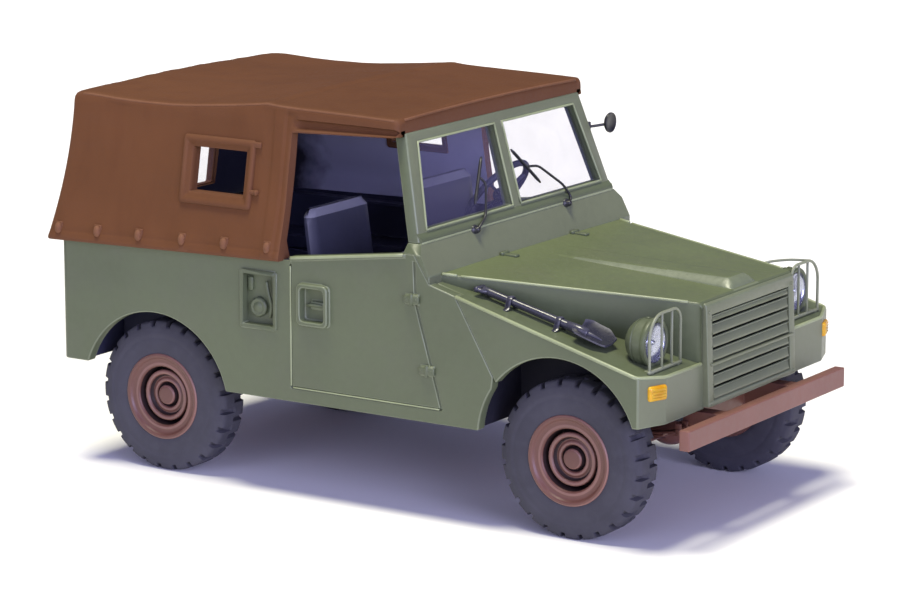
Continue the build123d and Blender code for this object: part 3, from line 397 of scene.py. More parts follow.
def round_path(pts, r, k=5):
    """Polyline with its corners rounded to radius r or less."""
    pts = [Vector(p) for p in pts]
    out = [pts[0]]
    for a, b, c in zip(pts, pts[1:], pts[2:]):
        u, w = (a - b), (c - b)
        d = min(r, u.length * 0.45, w.length * 0.45)
        p, q = b + u.normalized() * d, b + w.normalized() * d
        for i in range(k + 1):
            t = i / k
            out.append(p * (1 - t) ** 2 + b * 2 * t * (1 - t) + q * t * t)
    out.append(pts[-1])
    return out


def tube(bm, pts, r, seg=12, mat=0, ends=True, closed=False, flat=1.0, up=None):
    pts = [Vector(p) for p in pts]
    n = len(pts)
    rings, nrm = [], None
    for i, p in enumerate(pts):
        if closed:
            t = (pts[(i + 1) % n] - pts[i - 1]).normalized()
        else:
            t = (pts[min(i + 1, n - 1)] - pts[max(i - 1, 0)]).normalized()
        if nrm is None:
            nrm = (Vector(up) - t * t.dot(Vector(up))).normalized() if up else t.orthogonal().normalized()
        else:
            nrm = (nrm - t * t.dot(nrm)).normalized()
        b = t.cross(nrm)
        rad = r[i] if isinstance(r, (list, tuple)) else r
        rings.append([p + (nrm * cos(2 * pi * s / seg) * rad * flat + b * sin(2 * pi * s / seg) * rad) for s in range(seg)])
    if ends and not closed:
        ta, tb = (pts[0] - pts[1]).normalized(), (pts[-1] - pts[-2]).normalized()
        ra = r[0] if isinstance(r, (list, tuple)) else r
        rb = r[-1] if isinstance(r, (list, tuple)) else r
        first = [pts[0] + (q - pts[0]) * 0.6 + ta * ra * 0.35 for q in rings[0]]
        last = [pts[-1] + (q - pts[-1]) * 0.6 + tb * rb * 0.35 for q in rings[-1]]
        rings = [first] + rings + [last]
    if closed:
        rings.append(None)
        vr = [[bm.verts.new(p) for p in q] for q in rings[:-1]]
        for i in range(n):
            a, b = vr[i], vr[(i + 1) % n]
            for s in range(seg):
                j = (s + 1) % seg
                face(bm, (a[s], a[j], b[j], b[s]), mat)
        return
    loft(bm, rings, cap0=ends, cap1=ends, mat=mat)


def lathe(bm, profile, place, seg=64, closed=False, mat=0, mats=None, start=False, end=False):
    """profile rows: radius, distance along the axis. place(r, a, h) gives the point."""
    rings = [[bm.verts.new(place(r, 2 * pi * s / seg, h)) for s in range(seg)] for r, h in profile]
    m = len(rings)
    for i in range(m if closed else m - 1):
        a, b = rings[i], rings[(i + 1) % m]
        for s in range(seg):
            j = (s + 1) % seg
            face(bm, (a[s], a[j], b[j], b[s]), mats[i] if mats else mat)
    if start:
        face(bm, list(reversed(rings[0])), mats[0] if mats else mat)
    if end:
        face(bm, rings[-1], mats[-1] if mats else mat)
    return rings


def prism(bm, outline, put, a, b, mat=0):
    """Outline of two coordinates carried from a to b; put(u, v, w) gives the point."""
    return loft(bm, [[put(u, v, a) for u, v in outline], [put(u, v, b) for u, v in outline]], cap0=True, cap1=True, mat=mat)


def along_y(u, v, w):
    return (u, w, v)


def along_x(u, v, w):
    return (w, u, v)


def along_z(u, v, w):
    return (u, v, w)


def merge(bm, other):
    bmesh.ops.recalc_face_normals(other, faces=other.faces[:])
    me = bpy.data.meshes.new("tmp")
    other.to_mesh(me)
    other.free()
    bm.from_mesh(me)
    bpy.data.meshes.remove(me)


def rbox(bm, x0, x1, y0, y1, z0, z1, r=0.05, seg=2, mat=0, turn=None):
    """Block with rounded edges; turn is a matrix applied about its middle."""
    t = bmesh.new()
    bmesh.ops.create_cube(t, size=1.0)
    for v in t.verts:
        v.co = Vector((v.co.x * abs(x1 - x0), v.co.y * abs(y1 - y0), v.co.z * abs(z1 - z0)))
    bmesh.ops.bevel(t, geom=t.edges[:], offset=r, segments=seg, profile=0.5, affect="EDGES", clamp_overlap=True)
    c = Vector(((x0 + x1) / 2, (y0 + y1) / 2, (z0 + z1) / 2))
    for v in t.verts:
        v.co = (turn @ v.co if turn is not None else v.co) + c
    for f in t.faces:
        f.material_index = mat
    merge(bm, t)


def dome(bm, centre, rx, ry, rz, seg=16, rows=8, mat=0):
    """Closed ellipsoid with a little flattening, used for studs and knobs."""
    t = bmesh.new()
    bmesh.ops.create_uvsphere(t, u_segments=seg, v_segments=rows, radius=1.0)
    for v in t.verts:
        p = v.co
        q = Vector([abs(c) ** 0.85 * (1 if c > 0 else -1) for c in p])
        v.co = Vector((centre[0] + q.x * rx, centre[1] + q.y * ry, centre[2] + q.z * rz))
    for f in t.faces:
        f.material_index = mat
    merge(bm, t)


def bolt(bm, p, axis, r=0.16, h=0.12, mat=0):
    """Six-sided bolt head with a washer, standing on p along axis."""
    ax = Vector(axis).normalized()
    u = ax.orthogonal().normalized()
    w = ax.cross(u)
    p = Vector(p)
    rings = []
    for rad, up, n in ((r * 1.35, -0.02, 12), (r * 1.35, h * 0.28, 12), (r, h * 0.28, 12), (r, h * 0.85, 12), (r * 0.8, h, 12)):
        ring = []
        for s in range(12):
            a = 2 * pi * s / 12
            k = rad
            if rad <= r:
                k = rad / cos(((a + pi / 6) % (pi / 3)) - pi / 6) * 0.94
            ring.append(p + ax * up + (u * cos(a) + w * sin(a)) * k)
        rings.append(ring)
    loft(bm, rings, cap0=True, cap1=True, mat=mat)


def bake(ob):
    """Applies the piece's modifiers to its mesh."""
    dg = bpy.context.evaluated_depsgraph_get()
    me = bpy.data.meshes.new_from_object(ob.evaluated_get(dg), depsgraph=dg)
    old = ob.data
    ob.modifiers.clear()
    ob.data = me
    bpy.data.meshes.remove(old)


def mend(me):
    """Cuts a many-sided face that folds over itself a little into sound triangles."""
    bm = bmesh.new()
    bm.from_mesh(me)
    bm.faces.ensure_lookup_table()
    sums = {}
    for tri in bm.calc_loop_triangles():
        a, b, c = (q.vert.co for q in tri)
        k = tri[0].face.index
        sums[k] = sums.get(k, 0.0) + (b - a).cross(c - a).length / 2
    bad = [f for f in bm.faces if len(f.verts) > 6 and f.calc_area() > 1.0e-7 and abs(sums.get(f.index, 0.0) - f.calc_area()) > 0.002 * f.calc_area()]
    for f in bad:
        n = f.normal.copy()
        u = n.orthogonal().normalized()
        w = n.cross(u)
        ring = list(f.verts)
        o = ring[0].co.copy()
        flat = [Vector(((v.co - o).dot(u) / MM, (v.co - o).dot(w) / MM)) for v in ring]
        pts, _, tris, origin, _, _ = geometry.delaunay_2d_cdt(flat, [], [list(range(len(ring)))], 1, 1.0e-5)
        if not tris:
            continue
        made = [ring[origin[i][0]] if origin[i] else bm.verts.new(o + (u * q.x + w * q.y) * MM) for i, q in enumerate(pts)]
        mat = f.material_index
        bm.faces.remove(f)
        for t in tris:
            face(bm, [made[k] for k in t], mat)
    bm.to_mesh(me)
    bm.free()


def harden(me):
    """Wide flat faces keep their own normal up to their edges; the rounded strips between them blend into it."""
    wide = []
    for p in me.polygons:
        ring = [me.vertices[i].co for i in p.vertices]
        around = sum((a - b).length for a, b in zip(ring, ring[1:] + ring[:1]))
        wide.append(p.area > 1.0e-6 and 2 * p.area > 0.6e-3 * around)
    at = {}
    for p in me.polygons:
        if wide[p.index]:
            for v in p.vertices:
                at.setdefault(v, []).append(p.normal.copy())
    for _ in range(3):
        for p in me.polygons:
            if not wide[p.index] and any(q.dot(p.normal) > 0.99995 for v in p.vertices for q in at.get(v, ())):
                wide[p.index] = True
                for v in p.vertices:
                    at.setdefault(v, []).append(p.normal.copy())
    corner = [n.vector.copy() for n in me.corner_normals]
    for p in me.polygons:
        for li in p.loop_indices:
            if wide[p.index]:
                corner[li] = p.normal.copy()
                continue
            best = 0.5
            for q in at.get(me.loops[li].vertex_index, ()):
                d = q.dot(p.normal)
                if d > best:
                    best, corner[li] = d, q
    me.normals_split_custom_set(corner)


def settle(bm, name, body, mats, rep=(), bevel=0.0, seg=2, angle=32, smooth=42, closed=True, weights=None, weighted=True, bevel_painted_highlight_mat=None):
    """Turns the mesh to metres, bevels and shades it, and hangs it on its body."""
    if closed:
        bmesh.ops.recalc_face_normals(bm, faces=bm.faces[:])
    for v in bm.verts:
        v.co = Vector(((v.co.x + XO) * MM, v.co.y * MM, v.co.z * MM))
    me = bpy.data.meshes.new(name)
    bm.to_mesh(me)
    bm.free()
    for m in mats:
        me.materials.append(m)
    ob = bpy.data.objects.new(name, me)
    scene.collection.objects.link(ob)
    if bevel or weights:
        b = ob.modifiers.new("Bevel", "BEVEL")
        b.width = (weights or bevel) * MM
        b.segments = seg
        b.profile = 0.5
        # bevel faces may take a lighter material: a painted highlight on the rounded edges
        if bevel_painted_highlight_mat is not None:
            b.material = bevel_painted_highlight_mat
        if weights:
            b.limit_method = "WEIGHT"
            b.use_clamp_overlap = False
        else:
            b.limit_method = "ANGLE"
            b.angle_limit = radians(angle)
            b.use_clamp_overlap = True
        bpy.context.view_layer.update()
        bake(ob)
        if weights:
            mend(ob.data)
    ob.data.shade_smooth()
    ob.data.set_sharp_from_angle(angle=radians(smooth))
    if weighted and (bevel or weights):
        harden(ob.data)
    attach(ob, body)
    if rep:
        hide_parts(*rep)
    return ob


def cad(node, tol=0.8):
    """The node's shape as a clean mesh of flat faces, in the millimetres used here."""
    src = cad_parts[node].data
    bm = bmesh.new()
    vs = [bm.verts.new((v.co.x / MM - XO, v.co.y / MM, v.co.z / MM)) for v in src.vertices]
    for p in src.polygons:
        face(bm, [vs[i] for i in p.vertices])
    bmesh.ops.remove_doubles(bm, verts=bm.verts[:], dist=0.0012)
    bmesh.ops.dissolve_degenerate(bm, edges=bm.edges[:], dist=0.0004)
    bmesh.ops.dissolve_limit(bm, angle_limit=radians(tol), use_dissolve_boundaries=False, verts=bm.verts[:], edges=bm.edges[:])
    bmesh.ops.recalc_face_normals(bm, faces=bm.faces[:])
    return bm


WMAX = 0.30


def weigh(bm, want=0.08, least=0.018, share=0.40, angle=26, pick=None):
    """Sets how far each sharp edge is rounded, no further than its neighbours leave room for."""
    lay = bm.edges.layers.float.new("bevel_weight_edge")
    for e in bm.edges:
        if len(e.link_faces) != 2 or e.calc_face_angle(0.0) < radians(angle):
            continue
        d = e.verts[1].co - e.verts[0].co
        if d.length < 1e-6:
            continue
        d.normalize()
        room = 9.0
        for v in e.verts:
            for f in v.link_edges:
                if f is e:
                    continue
                o = f.other_vert(v).co - v.co
                if o.length < 1e-6:
                    continue
                c = abs(d.dot(o.normalized()))
                if c > 0.92:
                    continue
                room = min(room, share * o.length * sqrt(max(0.0, 1 - c * c)))
        target = want
        if pick:
            got = pick((e.verts[0].co + e.verts[1].co) / 2, d, e)
            if got is not None:
                target = got
        width = min(target, room)
        e[lay] = width / WMAX if width > least else 0.0


def from_cad(node, name, body, mats, want=0.08, seg=2, tol=0.8, pick=None, edit=None, extra=None, share=0.40, smooth=44, paint=None):
    bm = cad(node, tol)
    if edit:
        edit(bm)
    weigh(bm, want, pick=pick, share=share)
    if paint:
        for f in bm.faces:
            f.material_index = paint(f)
    # bevel faces of olive pieces take the lighter olive as a painted highlight
    edge = None
    if mats[0] is olive:
        edge = len(mats)
        mats = mats + [olive_bevel_painted_highlight]
    ob = settle(bm, name, body, mats, rep=(node,), weights=WMAX, seg=seg, smooth=smooth, closed=False, bevel_painted_highlight_mat=edge)
    if extra:
        add_to(ob, extra)
    return ob


def add_to(ob, build):
    """Adds more closed shapes, built in millimetres, to a piece that's already in place."""
    bm = bmesh.new()
    build(bm)
    bmesh.ops.recalc_face_normals(bm, faces=bm.faces[:])
    for v in bm.verts:
        v.co = Vector(((v.co.x + XO) * MM, v.co.y * MM, v.co.z * MM))
    me = bpy.data.meshes.new("tmp")
    bm.to_mesh(me)
    bm.free()
    both = bmesh.new()
    both.from_mesh(ob.data)
    both.from_mesh(me)
    both.to_mesh(ob.data)
    both.free()
    bpy.data.meshes.remove(me)
    ob.data.shade_smooth()
    ob.data.set_sharp_from_angle(angle=radians(44))
    harden(ob.data)


def round_corners(bm, test, offset, seg=4):
    edges = [e for e in bm.edges if test(e)]
    if edges:
        bmesh.ops.bevel(bm, geom=edges, offset=offset, segments=seg, profile=0.5, affect="EDGES", clamp_overlap=False)


def near(a, b, tol=0.02):
    return abs(a - b) < tol


# ------------------------------------------------------------- soft top ----
ROOF = [(-34.8, 21.90), (-33.4, 21.95), (-32.2, 21.90), (-31.0, 21.84), (-28.8, 21.80), (-26.6, 21.81), (-25.2, 21.88), (-23.8, 22.00), (-22.3, 22.13),
        (-20.6, 22.31), (-19.85, 22.40), (-19.55, 22.36), (-19.0, 22.32), (-17.8, 22.28), (-13.7, 22.21), (-11.2, 22.14), (-10.5, 22.12)]
XR, XF, XD = -34.72, -10.98, -18.03
EAVE_R, REAR_R, FRONT_R = 0.42, 0.50, 0.33
U0 = 4.05 / 9.0


def top_lip(x):
    return 20.83 + max(0.0, x - XD) * 0.038


def top_half(z):
    s = clamp((z - 13.5) / 7.8)
    return lerp(11.55, 9.85, clamp((z - 13.4) / 8.2, -0.1, 1.05)) - 0.19 * sin(pi * s) ** 0.8


def roof_y(u, ymax):
    a = abs(u)
    y = 9.0 * a if a <= U0 else lerp(4.05, ymax, (a - U0) / (1 - U0))
    return y if u >= 0 else -y


HEM = [0.0, 0.07, 0.2, 0.40, 0.50, 0.56, 0.62]
SIDE_Z = [14.40, 14.8, 15.3, 15.85, 16.4, 17.0, 17.5, 18.0, 18.40, 18.8, 19.2, 19.6, 20.05, 20.45]
LIPS = [0.0, 0.10, 0.20, 0.30, 0.62, 0.74, 1.0]
ARC = [0.0, 0.2, 0.4, 0.6, 0.8, 1.0]
UU = sorted(set([round(-1 + i / 22, 5) for i in range(45)] + [-U0, U0]))
UU = [u for u in UU if not any(abs(u - q) < 0.012 and u != q for q in (-U0, U0))]
N_SIDE = len(HEM) + len(SIDE_Z) + len(LIPS)


def side_rows(x):
    """Heights of the side rows, then the eave's arc starts at the last."""
    z0 = rail_z(x) - 0.05
    top = table(ROOF, x) - EAVE_R
    lip = top_lip(x)
    return [z0 + h for h in HEM] + SIDE_Z + [lerp(lip, top, k) for k in LIPS]


def top_ring(x, inset=0.0, inner=0.0, lipped=0.0, rear=0.0, front=0.0):
    """Right hem, up the side, over the roof, and down to the left hem: one cross section as (y, z) rows with tags."""
    zs = side_rows(x)
    half = []
    troof = table(ROOF, x) - inset
    if inner:
        troof -= inner + 0.10 * sstep(-12.6, -11.6, x)
    r = max(0.07, EAVE_R - inner)
    base = zs[len(HEM) + len(SIDE_Z)]
    for j, z in enumerate(zs):
        zz = z
        if j >= len(HEM) + len(SIDE_Z):
            k = LIPS[j - len(HEM) - len(SIDE_Z)]
            zz = lerp(base, troof - r, k)
        y = top_half(zz) - inset
        if j == 0:
            y -= 0.10
        elif j == 1:
            y -= 0.02
        elif HEM and j < len(HEM) and near(HEM[j], 0.56, 0.001) and not inner:
            y -= 0.02
        if inner:
            y -= inner + (0.70 * clamp((14.75 - zz) / 1.2) if zz < 14.75 else 0.0)
        if lipped:
            k = (zz - base)
            if j >= len(HEM) + len(SIDE_Z):
                step = LIPS[j - len(HEM) - len(SIDE_Z)]
                if not inner:
                    y -= lipped * {0.0: 0.05, 0.10: 0.0, 0.20: 0.22, 0.30: 0.30, 0.62: 0.30, 0.74: 0.04}.get(step, 0.0)
                else:
                    y += lipped * 0.15
                if step == 0.0 and front:
                    zz += front * 0.35
        half.append((y, zz))
    ye = half[-1][0]
    for a in ARC[1:]:
        t = a * pi / 2
        bead = 0.045 * sin(pi * a) ** 6 if not inner else 0.0
        half.append((ye - r * (1 - cos(t)) + bead * cos(t), troof - r + r * sin(t) + bead * sin(t)))
    ymax = ye - r
    crown = 0.17
    out = [(-y, z) for y, z in half[:-1]]
    out += [(roof_y(u, ymax), troof + crown * (1 - u * u) ** 1.0 * (1 - 0.3 * front)) for u in UU]
    out += [(y, z) for y, z in reversed(half[:-1])]
    return out


def wrinkle(x, y, z, where):
    """How far the cloth stands proud of its plain shape at this place."""
    if where == "roof":
        back = 1 - sstep(-21.5, -18.5, x)
        d = noise.noise(Vector((x * 0.22, y * 1.35, 3.1))) * 0.030 * back
        d += noise.noise(Vector((x * 0.10 + y * 0.25, y * 0.55, 7.7))) * 0.04
        d += noise.noise(Vector((x * 0.7, y * 0.7, 1.7))) * 0.022
        d -= 0.055 * max(0.0, 1 - abs(x + 19.35) / 0.28)
        d += 0.020 * max(0.0, 1 - abs(x + 12.3) / 0.25)
        return d
    if where == "side":
        d = noise.noise(Vector((x * 0.35, z * 0.28, 11.0 + (5 if y > 0 else 0)))) * 0.060
        d += noise.noise(Vector((x * 1.1 + z * 0.35, z * 0.30, 21.0 + (5 if y > 0 else 0)))) * 0.030 * sstep(13.8, 15.5, z)
        low = 1 - sstep(13.9, 15.6, z)
        if x < XD - 0.1:
            ph = (x + 33.5) / 2.95
            d += 0.05 * low * cos(2 * pi * ph)
        d += 0.05 * sstep(-19.33, -19.23, x) * (1 - sstep(-18.48, -18.38, x)) - 0.045 * max(0.0, 1 - abs(x + 18.43) / 0.12)
        edge = min(abs(x + 25.9), abs(x + 20.0)) if 15.8 < z < 20.7 else 9
        d += 0.03 * max(0.0, 1 - edge / 0.5)
        return d
    d = noise.noise(Vector((y * 0.35, z * 0.30, 31.0))) * 0.06 + noise.noise(Vector((y * 1.0 + z * 0.2, z * 0.35, 41.0))) * 0.028
    low = 1 - sstep(13.9, 15.6, z)
    d += 0.05 * low * cos(2 * pi * (y / 3.2))
    return d


def build_top():
    bm = bmesh.new()
    xs = [-33.95 + i * 0.225 for i in range(0, 73)]
    xs = [x for x in xs if x < XD - 0.08] + [-24.72, -20.97, -19.33, -19.23, -18.53, -18.43, -18.33, XD]
    xs = sorted(set(round(x, 4) for x in xs))
    xs = [x for i, x in enumerate(xs) if not any(abs(x - k) < 0.07 and x != k for k in (-24.72, -20.97, XD))]
    arc = 6
    stations = []          # x, outer inset, lipped, front
    for i in range(arc):
        a = i / arc * pi / 2
        stations.append((XR + REAR_R * (1 - sin(a)) if False else XR + REAR_R * (1 - cos(a)), REAR_R * (1 - sin(a)), 0.0, 0.0, i))
    for x in xs:
        stations.append((x, 0.0, 0.0, 0.0, arc))
    n_a = len(stations)
    x = XD + 0.15
    while x < XF - FRONT_R - 0.1:
        stations.append((x, 0.0, clamp((x - XD) / 0.3), 0.0, arc))
        x += 0.235
    for i in range(6):
        a = i / 5 * pi / 2
        stations.append((XF - FRONT_R * (1 - sin(a)), FRONT_R * (1 - cos(a)), 1.0, i / 5, arc))

    def shear(x, z, w):
        s = clamp((z - 13.5) / 7.8)
        return x + w * (0.112 * (z - 13.4) + 0.19 * sin(pi * s) ** 0.8)

    outer, inn = [], []
    n_lip = len(HEM) + len(SIDE_Z)
    for k, (x, inset, lipped, front, a) in enumerate(stations):
        w = 1 - sstep(-33.9, -27.5, x)
        ring = top_ring(x, inset, 0.0, lipped, 0.0, front)
        n = len(ring)
        pts = []
        for j, (y, z) in enumerate(ring):
            roof = N_SIDE + 2 <= j < n - N_SIDE - 2
            side = j < N_SIDE or j >= n - N_SIDE
            X = shear(x, z, w)
            if roof:
                edge = min(1.0, (9.9 - abs(y)) / 1.2)
                z += wrinkle(X, y, z, "roof") * clamp(edge) * (1 - front)
            elif side and a == arc and front == 0:
                fade = 1 - lipped
                win = 1.0
                if -25.6 < X < -20.1 and 16.2 < z < 20.3:
                    win = 0.25
                y += (1 if y > 0 else -1) * wrinkle(X, y, z, "side") * fade * win * sstep(rail_z(X) - 0.1, rail_z(X) + 0.3, z)
            pts.append((X, y, z))
        outer.append([bm.verts.new(p) for p in pts])
        t = 0.60
        xi = max(x, XR + t + 0.03 * k) if k < arc + 3 else x
        ring = top_ring(x if a == arc else XR + t, 0.0 if x < XD else inset, t, lipped, 0.0, front)
        inn.append([bm.verts.new((shear(xi, z, w), y, z)) for y, z in ring])
    n = len(outer[0])

    def in_window(i, j):
        xa, xb = stations[i][0], stations[i + 1][0]
        if not (xa > -24.73 and xb < -20.96):
            return False
        jj = j if j < n // 2 else n - 2 - j
        lo = len(HEM) + SIDE_Z.index(17.0)
        hi = len(HEM) + SIDE_Z.index(19.6)
        return lo <= jj < hi

    def skip(i, j):
        if i >= n_a - 1:
            return j < n_lip or j >= n - 1 - n_lip
        return in_window(i, j)

    used = set()
    for i in range(len(stations) - 1):
        for j in range(n - 1):
            if skip(i, j):
                continue
            used.add((i, j))
            face(bm, (outer[i][j], outer[i + 1][j], outer[i + 1][j + 1], outer[i][j + 1]), 0)
            face(bm, (inn[i][j], inn[i][j + 1], inn[i + 1][j + 1], inn[i + 1][j]), 1)
    # edges of the sheet: wherever a quad has no neighbour, outer and inner are joined
    for i, j in used:
        for (di, dj, p, q) in ((-1, 0, (i, j), (i, j + 1)), (1, 0, (i + 1, j + 1), (i + 1, j)), (0, -1, (i + 1, j), (i, j)), (0, 1, (i, j + 1), (i + 1, j + 1))):
            if (i + di, j + dj) in used:
                continue
            if i + di < 0:
                continue
            face(bm, (outer[p[0]][p[1]], outer[q[0]][q[1]], inn[q[0]][q[1]], inn[p[0]][p[1]]), 0)

    # rear wall: rows at the side's heights, columns at the roof's places across
    def wall(ring, mat, flip, proud):
        rows = []
        half = N_SIDE + len(ARC) - 1
        m = len(UU)
        x_base = None
        for j in range(half):
            a, b = ring[j], ring[n - 1 - j]
            row = []
            ymax = b.co.y
            up = sstep(20.0, ring[half].co.z, a.co.z)
            for k, u in enumerate(UU):
                if k == 0:
                    row.append(a)
                elif k == m - 1:
                    row.append(b)
                else:
                    y = roof_y(u, ymax)
                    z = lerp(a.co.z, b.co.z, k / (m - 1)) + 0.17 * (1 - u * u) * up
                    X = lerp(a.co.x, b.co.x, k / (m - 1))
                    if proud:
                        X -= wrinkle(X, y, z, "rear") * clamp((1 - abs(u)) * 6) * (1 - up) * sstep(13.4, 13.8, z)
                    row.append(bm.verts.new((X, y, z)))
            rows.append(row)
        rows.append([ring[half - 0 + k] for k in range(m)] if False else [ring[half + k] for k in range(m)])
        lo, hi = len(HEM) + SIDE_Z.index(14.40), len(HEM) + SIDE_Z.index(18.40)
        ua, ub = UU.index(-U0), UU.index(U0)
        for j in range(len(rows) - 1):
            for k in range(m - 1):
                if lo <= j < hi and ua <= k < ub:
                    continue
                q = (rows[j][k], rows[j][k + 1], rows[j + 1][k + 1], rows[j + 1][k])
                face(bm, tuple(reversed(q)) if flip else q, mat)
        return rows, lo, hi, ua, ub

    ro, lo, hi, ua, ub = wall(outer[0], 0, True, True)
    ri, *_ = wall(inn[0], 1, False, False)
    for k in range(ua, ub):
        face(bm, (ro[lo][k], ro[lo][k + 1], ri[lo][k + 1], ri[lo][k]), 0)
        face(bm, (ro[hi][k + 1], ro[hi][k], ri[hi][k], ri[hi][k + 1]), 0)
    for j in range(lo, hi):
        face(bm, (ro[j + 1][ua], ro[j][ua], ri[j][ua], ri[j + 1][ua]), 0)
        face(bm, (ro[j][ub], ro[j + 1][ub], ri[j + 1][ub], ri[j][ub]), 0)
    for k in range(len(UU) - 1):
        face(bm, (ro[0][k + 1], ro[0][k], ri[0][k], ri[0][k + 1]), 0)
    return bm


def ring_frame(bm, outline, rows, put):
    """Closed frame: the outline is inset and raised row by row. outline(d) gives the loop d inside."""
    loops = [[put(u, v, h) for u, v in outline(d)] for d, h in rows]
    vr = [[bm.verts.new(p) for p in loop] for loop in loops]
    m = len(vr[0])
    for i in range(len(vr)):
        a, b = vr[i], vr[(i + 1) % len(vr)]
        for s in range(m):
            j = (s + 1) % m
            face(bm, (a[s], a[j], b[j], b[s]))


def rounded_rect(x0, x1, z0, z1, r, k=5):
    pts = []
    for cx, cz, a0 in ((x1 - r, z1 - r, 0), (x0 + r, z1 - r, 90), (x0 + r, z0 + r, 180), (x1 - r, z0 + r, 270)):
        for i in range(k + 1):
            a = radians(a0 + 90 * i / k)
            pts.append((cx + r * cos(a), cz + r * sin(a)))
    return pts


# inner faces of the soft top take the painted-shade lining
settle(build_top(), "soft_top_canvas", "car", [brown, inside], rep=("soft_top",), smooth=60, closed=True, weighted=False)

bm = bmesh.new()
for s in (-1, 1):
    def on_side(u, v, h, s=s):
        return (u, s * (top_half(v) + h), v)

    def win_loop(d):
        return rounded_rect(-25.38 + d, -20.38 - d * 0.90, 16.32 + d, 20.18 - d, max(0.04, 0.20 - d * 0.2))
    ring_frame(bm, win_loop, [(0.0, -0.10), (0.0, 0.06), (0.05, 0.15), (0.14, 0.20), (0.28, 0.20), (0.38, 0.15), (0.44, 0.09), (0.60, 0.07), (0.66, 0.02), (0.665, -0.30), (0.67, -0.66), (0.30, -0.68)], on_side)
    # tab at the upper front corner and a peg beside the frame
    rbox(bm, -20.62, -19.98, s * (top_half(19.95) - 0.05), s * (top_half(19.95) + 0.17), 19.78, 20.12, 0.07, 3)
    rbox(bm, -20.62, -20.06, s * (top_half(17.35) - 0.05), s * (top_half(17.35) + 0.20), 17.20, 17.46, 0.08, 3)
    dome(bm, (-20.04, s * (top_half(17.33) + 0.10), 17.33), 0.16, 0.16, 0.17, 12, 8)
    # studs along the hem, each on a small cloth tab; the studs take the lighter brown as a painted highlight
    for x in (-33.72, -30.88, -27.90, -24.80, -21.85, -18.85):
        zc = rail_z(x) + 0.66
        rbox(bm, x - 0.27, x + 0.27, s * (top_half(zc) - 0.12), s * (top_half(zc) + 0.06), zc - 0.44, zc + 0.38, 0.08, 3)
        dome(bm, (x, s * (top_half(zc) + 0.07), zc), 0.215, 0.20, 0.33, 16, 10, mat=1)
# studs across the rear, in the lighter brown as a painted highlight
for y in (-8.0, -4.8, -1.6, 1.6, 4.8, 8.0):
    xb = XR + 0.112 * 0.66 + 0.02
    rbox(bm, xb - 0.06, xb + 0.14, y - 0.24, y + 0.24, 13.66, 14.42, 0.08, 3)
    dome(bm, (xb - 0.05, y, 14.05), 0.17, 0.215, 0.32, 16, 10, mat=1)


def rear_x(z):
    s = clamp((z - 13.5) / 7.8)
    return XR + 0.112 * (z - 13.4) + 0.19 * sin(pi * s) ** 0.8


def rear_loop(d):
    return rounded_rect(-4.50 + d, 4.50 - d, 13.98 + d, 18.85 - d, max(0.06, 0.30 - d * 0.3))


ring_frame(bm, rear_loop, [(0.0, -0.10), (0.0, 0.05), (0.06, 0.14), (0.16, 0.18), (0.34, 0.18), (0.44, 0.12), (0.50, 0.04), (0.50, -0.40), (0.30, -0.45)],
           lambda u, v, h: (rear_x(v) - h, u, v))
# rolled flap above the rear window with two straps
tube(bm, [(rear_x(19.25) - 0.16, y, 19.22 + 0.03 * sin(y * 1.7)) for y in [-4.5 + 0.3 * i for i in range(31)]], [0.20 + 0.02 * sin(i * 1.3) for i in range(31)], 14)
# piping along the eaves and round the roof's front, in the lighter brown as a painted highlight
for s in (1, -1):
    pts = []
    for i in range(80):
        x = lerp(-33.9, XF - 0.35, i / 79)
        w = 1 - sstep(-33.9, -27.5, x)
        ze = table(ROOF, x) - EAVE_R * (1 - sin(radians(42)))
        ye = top_half(table(ROOF, x) - EAVE_R) - EAVE_R * (1 - cos(radians(42)))
        sl = clamp((ze - 13.5) / 7.8)
        pts.append((x + w * (0.112 * (ze - 13.4) + 0.19 * sin(pi * sl) ** 0.8), s * (ye - 0.015), ze - 0.01))
    tube(bm, pts, 0.085, 10, mat=1)
for y in (-2.3, 2.3):
    pts = [(rear_x(19.7) - 0.03, y, 19.72), (rear_x(19.45) - 0.34, y, 19.46), (rear_x(19.2) - 0.40, y, 19.22), (rear_x(19.0) - 0.34, y, 18.98), (rear_x(18.8) - 0.05, y, 18.90)]
    tube(bm, spline(pts, 4), 0.20, 10, flat=0.22, up=(0, 0, 1))
tube(bm, [(XF - 0.085, roof_y(u, 9.15), 22.12 - 0.095 + 0.135 * (1 - u * u)) for u in [-0.99 + 0.0495 * i for i in range(41)]], 0.085, 10, mat=1)
settle(bm, "soft_top_fittings", "car", [brown, brown_painted_highlight], smooth=50)

# clear rear pane in its frame
bm = bmesh.new()
rows = []
for back in (0.33, 0.45):
    rows.append([(rear_x(z) + back, y, z) for y, z in rounded_rect(-4.10, 4.10, 14.34, 18.46, 0.12)])
loft(bm, rows, cap0=True, cap1=True)
settle(bm, "rear_window_pane", "car", [pane], rep=("rear_window",), bevel=0.02)


